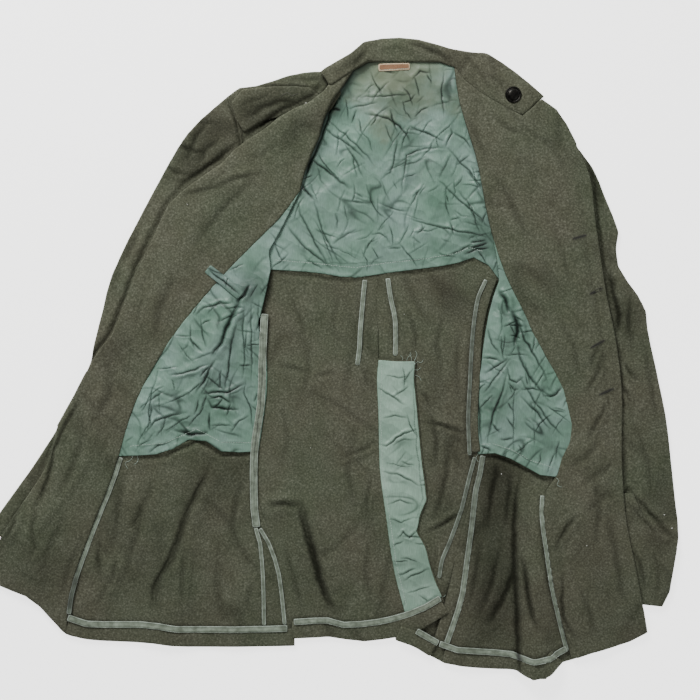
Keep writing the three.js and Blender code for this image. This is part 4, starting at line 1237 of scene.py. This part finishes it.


# Worked buttonholes: thread bars side by side round a slit, which is a near-black sheet of painted shadow.
def make_buttonholes():
    layer = layers["facing_right"]
    ends, rim, faces = [], [], []
    for start, end in BUTTONHOLES:
        start, end = np.array(start, float), np.array(end, float)
        middle, half = (start + end) / 2, np.hypot(*(end - start)) / 2
        along = (end - start) / (2 * half)
        across = np.array([-along[1], along[0]])
        for angle in turns(STITCHES_ROUND_SLIT):
            x, y = math.cos(angle), math.sin(angle)
            ends.append((middle + along * x * (half - 0.4) + across * y * SLIT_HALF,
                         middle + along * x * (half + 1.4) + across * y * (SLIT_HALF + 1.7)))
        faces.append(tuple(range(len(rim), len(rim) + SLIT_POINTS)))
        for angle in turns(SLIT_POINTS):
            rim.append(middle + along * math.cos(angle) * half + across * math.sin(angle) * SLIT_HALF)
    add_bars("buttonhole_stitches", layer, ends, 0.4, 0.5, "wool_thread")
    rim = np.array(rim)
    heights = layer.height(rim[:, 0].copy(), rim[:, 1].copy())
    points = [(x * MM, y * MM, (z + 0.25) * MM) for (x, y), z in zip(rim, heights)]
    # The slits: flat near-black sheets, painted shadow where the cloth opens.
    add_mesh("buttonhole_slits", points, faces, "slit")


make_buttonholes()

# Stitching that shows: piece, spacing, stitch length, thread, then the line it follows. The linings'
# is by machine. The hems' is by hand, far apart.
STITCH_LINES = [
    ("lining_back", 3.2, 2.2, "pale_thread", (-78, 133), (-25, 129), (8, 125), (32, 123), (70, 129),
     (125, 135), (165, 142), (184, 150), (205, 144)),
    ("lining_front_left", 3.2, 2.2, "pale_thread", (-272, -117), (-225, -113), (-183, -94), (-150, -112),
     (-106, -113)),
    ("lining_front_right", 3.2, 2.2, "pale_thread", (200, -115), (215, -114), (240, -122), (265, -136),
     (296, -146)),
    ("vent_facing", 3.4, 2.2, "pale_thread", (66, -8), (64, -75), (67, -150), (76, -210), (86, -280),
     (100, -336)),
    ("neck_label", 2.4, 1.6, "pale_thread", (63, 389), (102, 391)),
    ("hem_front_left", 9.0, 2.0, "wool_thread", (-340, -368), (-250, -372), (-200, -377), (-70, -376)),
    ("hem_back_left", 9.0, 2.0, "wool_thread", (-46, -366), (0, -364), (18, -370), (60, -367), (100, -358),
     (132, -344)),
]


def make_stitch_lines():
    draw = np.random.default_rng(4)
    for number, (name, spacing, length, thread, *line) in enumerate(STITCH_LINES):
        ends = []
        for a, b in zip(line[:-1], line[1:]):
            a, b = np.array(a, float), np.array(b, float)
            run = np.hypot(*(b - a))
            along = (b - a) / run
            for k in range(int(run / spacing)):
                start = a + along * (k * spacing + draw.uniform(-0.2, 0.2)) + draw.uniform(-0.25, 0.25, 2)
                ends.append((start, start + along * length))
        add_bars("stitches_%d" % number, layers[name], ends, 0.32, 0.35, thread)


make_stitch_lines()


# Height of the uppermost cloth at one point.
def top_at(x, y):
    return sample(ground, np.atleast_1d(float(x)), np.atleast_1d(float(y)), (0, 0))[0]


# Frayed ends: thread, radius, then the points that each runs through.
LOOSE_THREADS = [
    ("pale_thread", 0.22, (108, -6), (111, 0), (113, 6), (111, 11)),
    ("pale_thread", 0.22, (109, -8), (114, -4), (119, -5), (122, -1)),
    ("pale_thread", 0.22, (105, -5), (106, 1), (103, 6)),
    ("pale_thread", 0.22, (99, -4), (101, 2), (105, 5), (104, 9)),
    ("pale_thread", 0.22, (109, -14), (114, -15), (118, -12)),
    ("pale_thread", 0.22, (110, -22), (116, -24), (119, -29)),
    ("pale_thread", 0.22, (93, -4), (94, 1), (91, 5)),
    ("pale_thread", 0.22, (-268, -129), (-272, -136), (-279, -140), (-276, -147)),
    ("pale_thread", 0.22, (-263, -129), (-262, -137), (-267, -142)),
    ("pale_thread", 0.22, (197, -127), (193, -133), (196, -139)),
    ("pale_thread", 0.22, (298, -158), (303, -163), (301, -169), (307, -172)),
    ("pale_thread", 0.22, (144, -318), (149, -321), (152, -318)),
    ("wool_thread", 0.3, (-70, 352), (-61, 357), (-55, 353), (-47, 356)),
]
THREAD_SIDES = 5
STEPS_BETWEEN_POINTS = 6


def make_loose_threads():
    for number, (thread, radius, *line) in enumerate(LOOSE_THREADS):
        path = []
        count = STEPS_BETWEEN_POINTS * (len(line) - 1)
        line = np.array(line, float)
        for k in range(count + 1):
            place = k / count * (len(line) - 1)
            first = min(int(place), len(line) - 2)
            t = place - first
            before, after = line[max(0, first - 1)], line[min(len(line) - 1, first + 2)]
            m1, m2 = (line[first + 1] - before) / 2, (after - line[first]) / 2
            x, y = curve_point(t, line[first], line[first + 1], m1, m2)
            path.append((x, y, top_at(x, y) + radius + 0.25))
        points, faces = [], []
        for k, (x, y, z) in enumerate(path):
            ahead = np.subtract(path[min(k + 1, count)], path[max(k - 1, 0)])[:2]
            side = np.array([-ahead[1], ahead[0]]) / max(np.hypot(*ahead), 1e-6)
            for angle in turns(THREAD_SIDES):
                points.append(((x + side[0] * radius * math.cos(angle)) * MM,
                               (y + side[1] * radius * math.cos(angle)) * MM,
                               (z + radius * math.sin(angle)) * MM))
        for k in range(count):
            for n in range(THREAD_SIDES):
                a, b = THREAD_SIDES * k + n, THREAD_SIDES * k + (n + 1) % THREAD_SIDES
                faces.append((a, b, b + THREAD_SIDES, a + THREAD_SIDES))
        add_mesh("loose_thread_%d" % number, points, faces, thread)


make_loose_threads()

# Bits of lint: radius, x, y.
LINT = [(0.9, 456, -228), (0.8, 446, -210), (0.8, 227, -155), (0.9, -36, 343), (0.6, -195, 207),
        (0.5, -310, 120), (0.5, 96, 60), (0.5, -30, -120), (0.6, 340, -250)]
LINT_SIDES = 7


def make_lint():
    points, faces = [], []
    for radius, x, y in LINT:
        z = top_at(x, y) + 0.4
        first = len(points)
        for level, share in ((0.0, 1.0), (0.5, 0.75)):
            for angle in turns(LINT_SIDES):
                away = radius * share * (1 + 0.35 * math.sin(3 * angle + x))
                points.append(((x + away * math.cos(angle)) * MM, (y + away * math.sin(angle)) * MM,
                               (z + level * radius) * MM))
        points.append((x * MM, y * MM, (z + 0.7 * radius) * MM))
        for n in range(LINT_SIDES):
            a, b = first + n, first + (n + 1) % LINT_SIDES
            c, d = b + LINT_SIDES, a + LINT_SIDES
            faces += [(a, b, c, d), (d, c, first + 2 * LINT_SIDES)]
    add_mesh("lint", points, faces, "lint")


make_lint()


# The camera's distance makes the picture as wide as the photograph's frame.
def make_camera():
    data = bpy.data.cameras.new("camera")
    data.lens, data.sensor_width = LENS, SENSOR
    camera = bpy.data.objects.new("camera", data)
    camera.location = (PICTURE_CENTRE[0] * MM, PICTURE_CENTRE[1] * MM, PICTURE_WIDTH * MM * LENS / SENSOR)
    bpy.context.scene.collection.objects.link(camera)
    bpy.context.scene.camera = camera


def make_floor():
    mesh = bpy.data.meshes.new("floor")
    mesh.from_pydata([(-4, -4, 0), (4, -4, 0), (4, 4, 0), (-4, 4, 0)], [], [(0, 1, 2, 3)])
    floor = bpy.data.objects.new("floor", mesh)
    bpy.context.scene.collection.objects.link(floor)
    material, _, shader, _ = new_material("painted_floor", Roughness=0.9)
    shader.inputs["Base Color"].default_value = lin("#f4f4f2")
    shader.inputs["Emission Color"].default_value = lin("#ffffff")
    shader.inputs["Emission Strength"].default_value = 2.2
    mesh.materials.append(material)


def make_light(name, place, aim, size, power):
    data = bpy.data.lights.new(name, "AREA")
    data.size, data.energy = size, power
    light = bpy.data.objects.new(name, data)
    light.location = place
    light.rotation_euler = (Vector(aim) - Vector(place)).to_track_quat("-Z", "Y").to_euler()
    bpy.context.scene.collection.objects.link(light)


make_camera()
make_floor()
make_light("softbox_key", (-0.75, 1.85, 1.35), (0, 0, 0), 0.9, 68)
make_light("softbox_fill", (1.6, -1.3, 1.6), (0, 0, 0), 1.6, 14)

world = bpy.data.worlds.new("studio")
bpy.context.scene.world = world
world.use_nodes = True
world.node_tree.nodes["Background"].inputs["Color"].default_value = lin("#ffffff")
world.node_tree.nodes["Background"].inputs["Strength"].default_value = 0.32
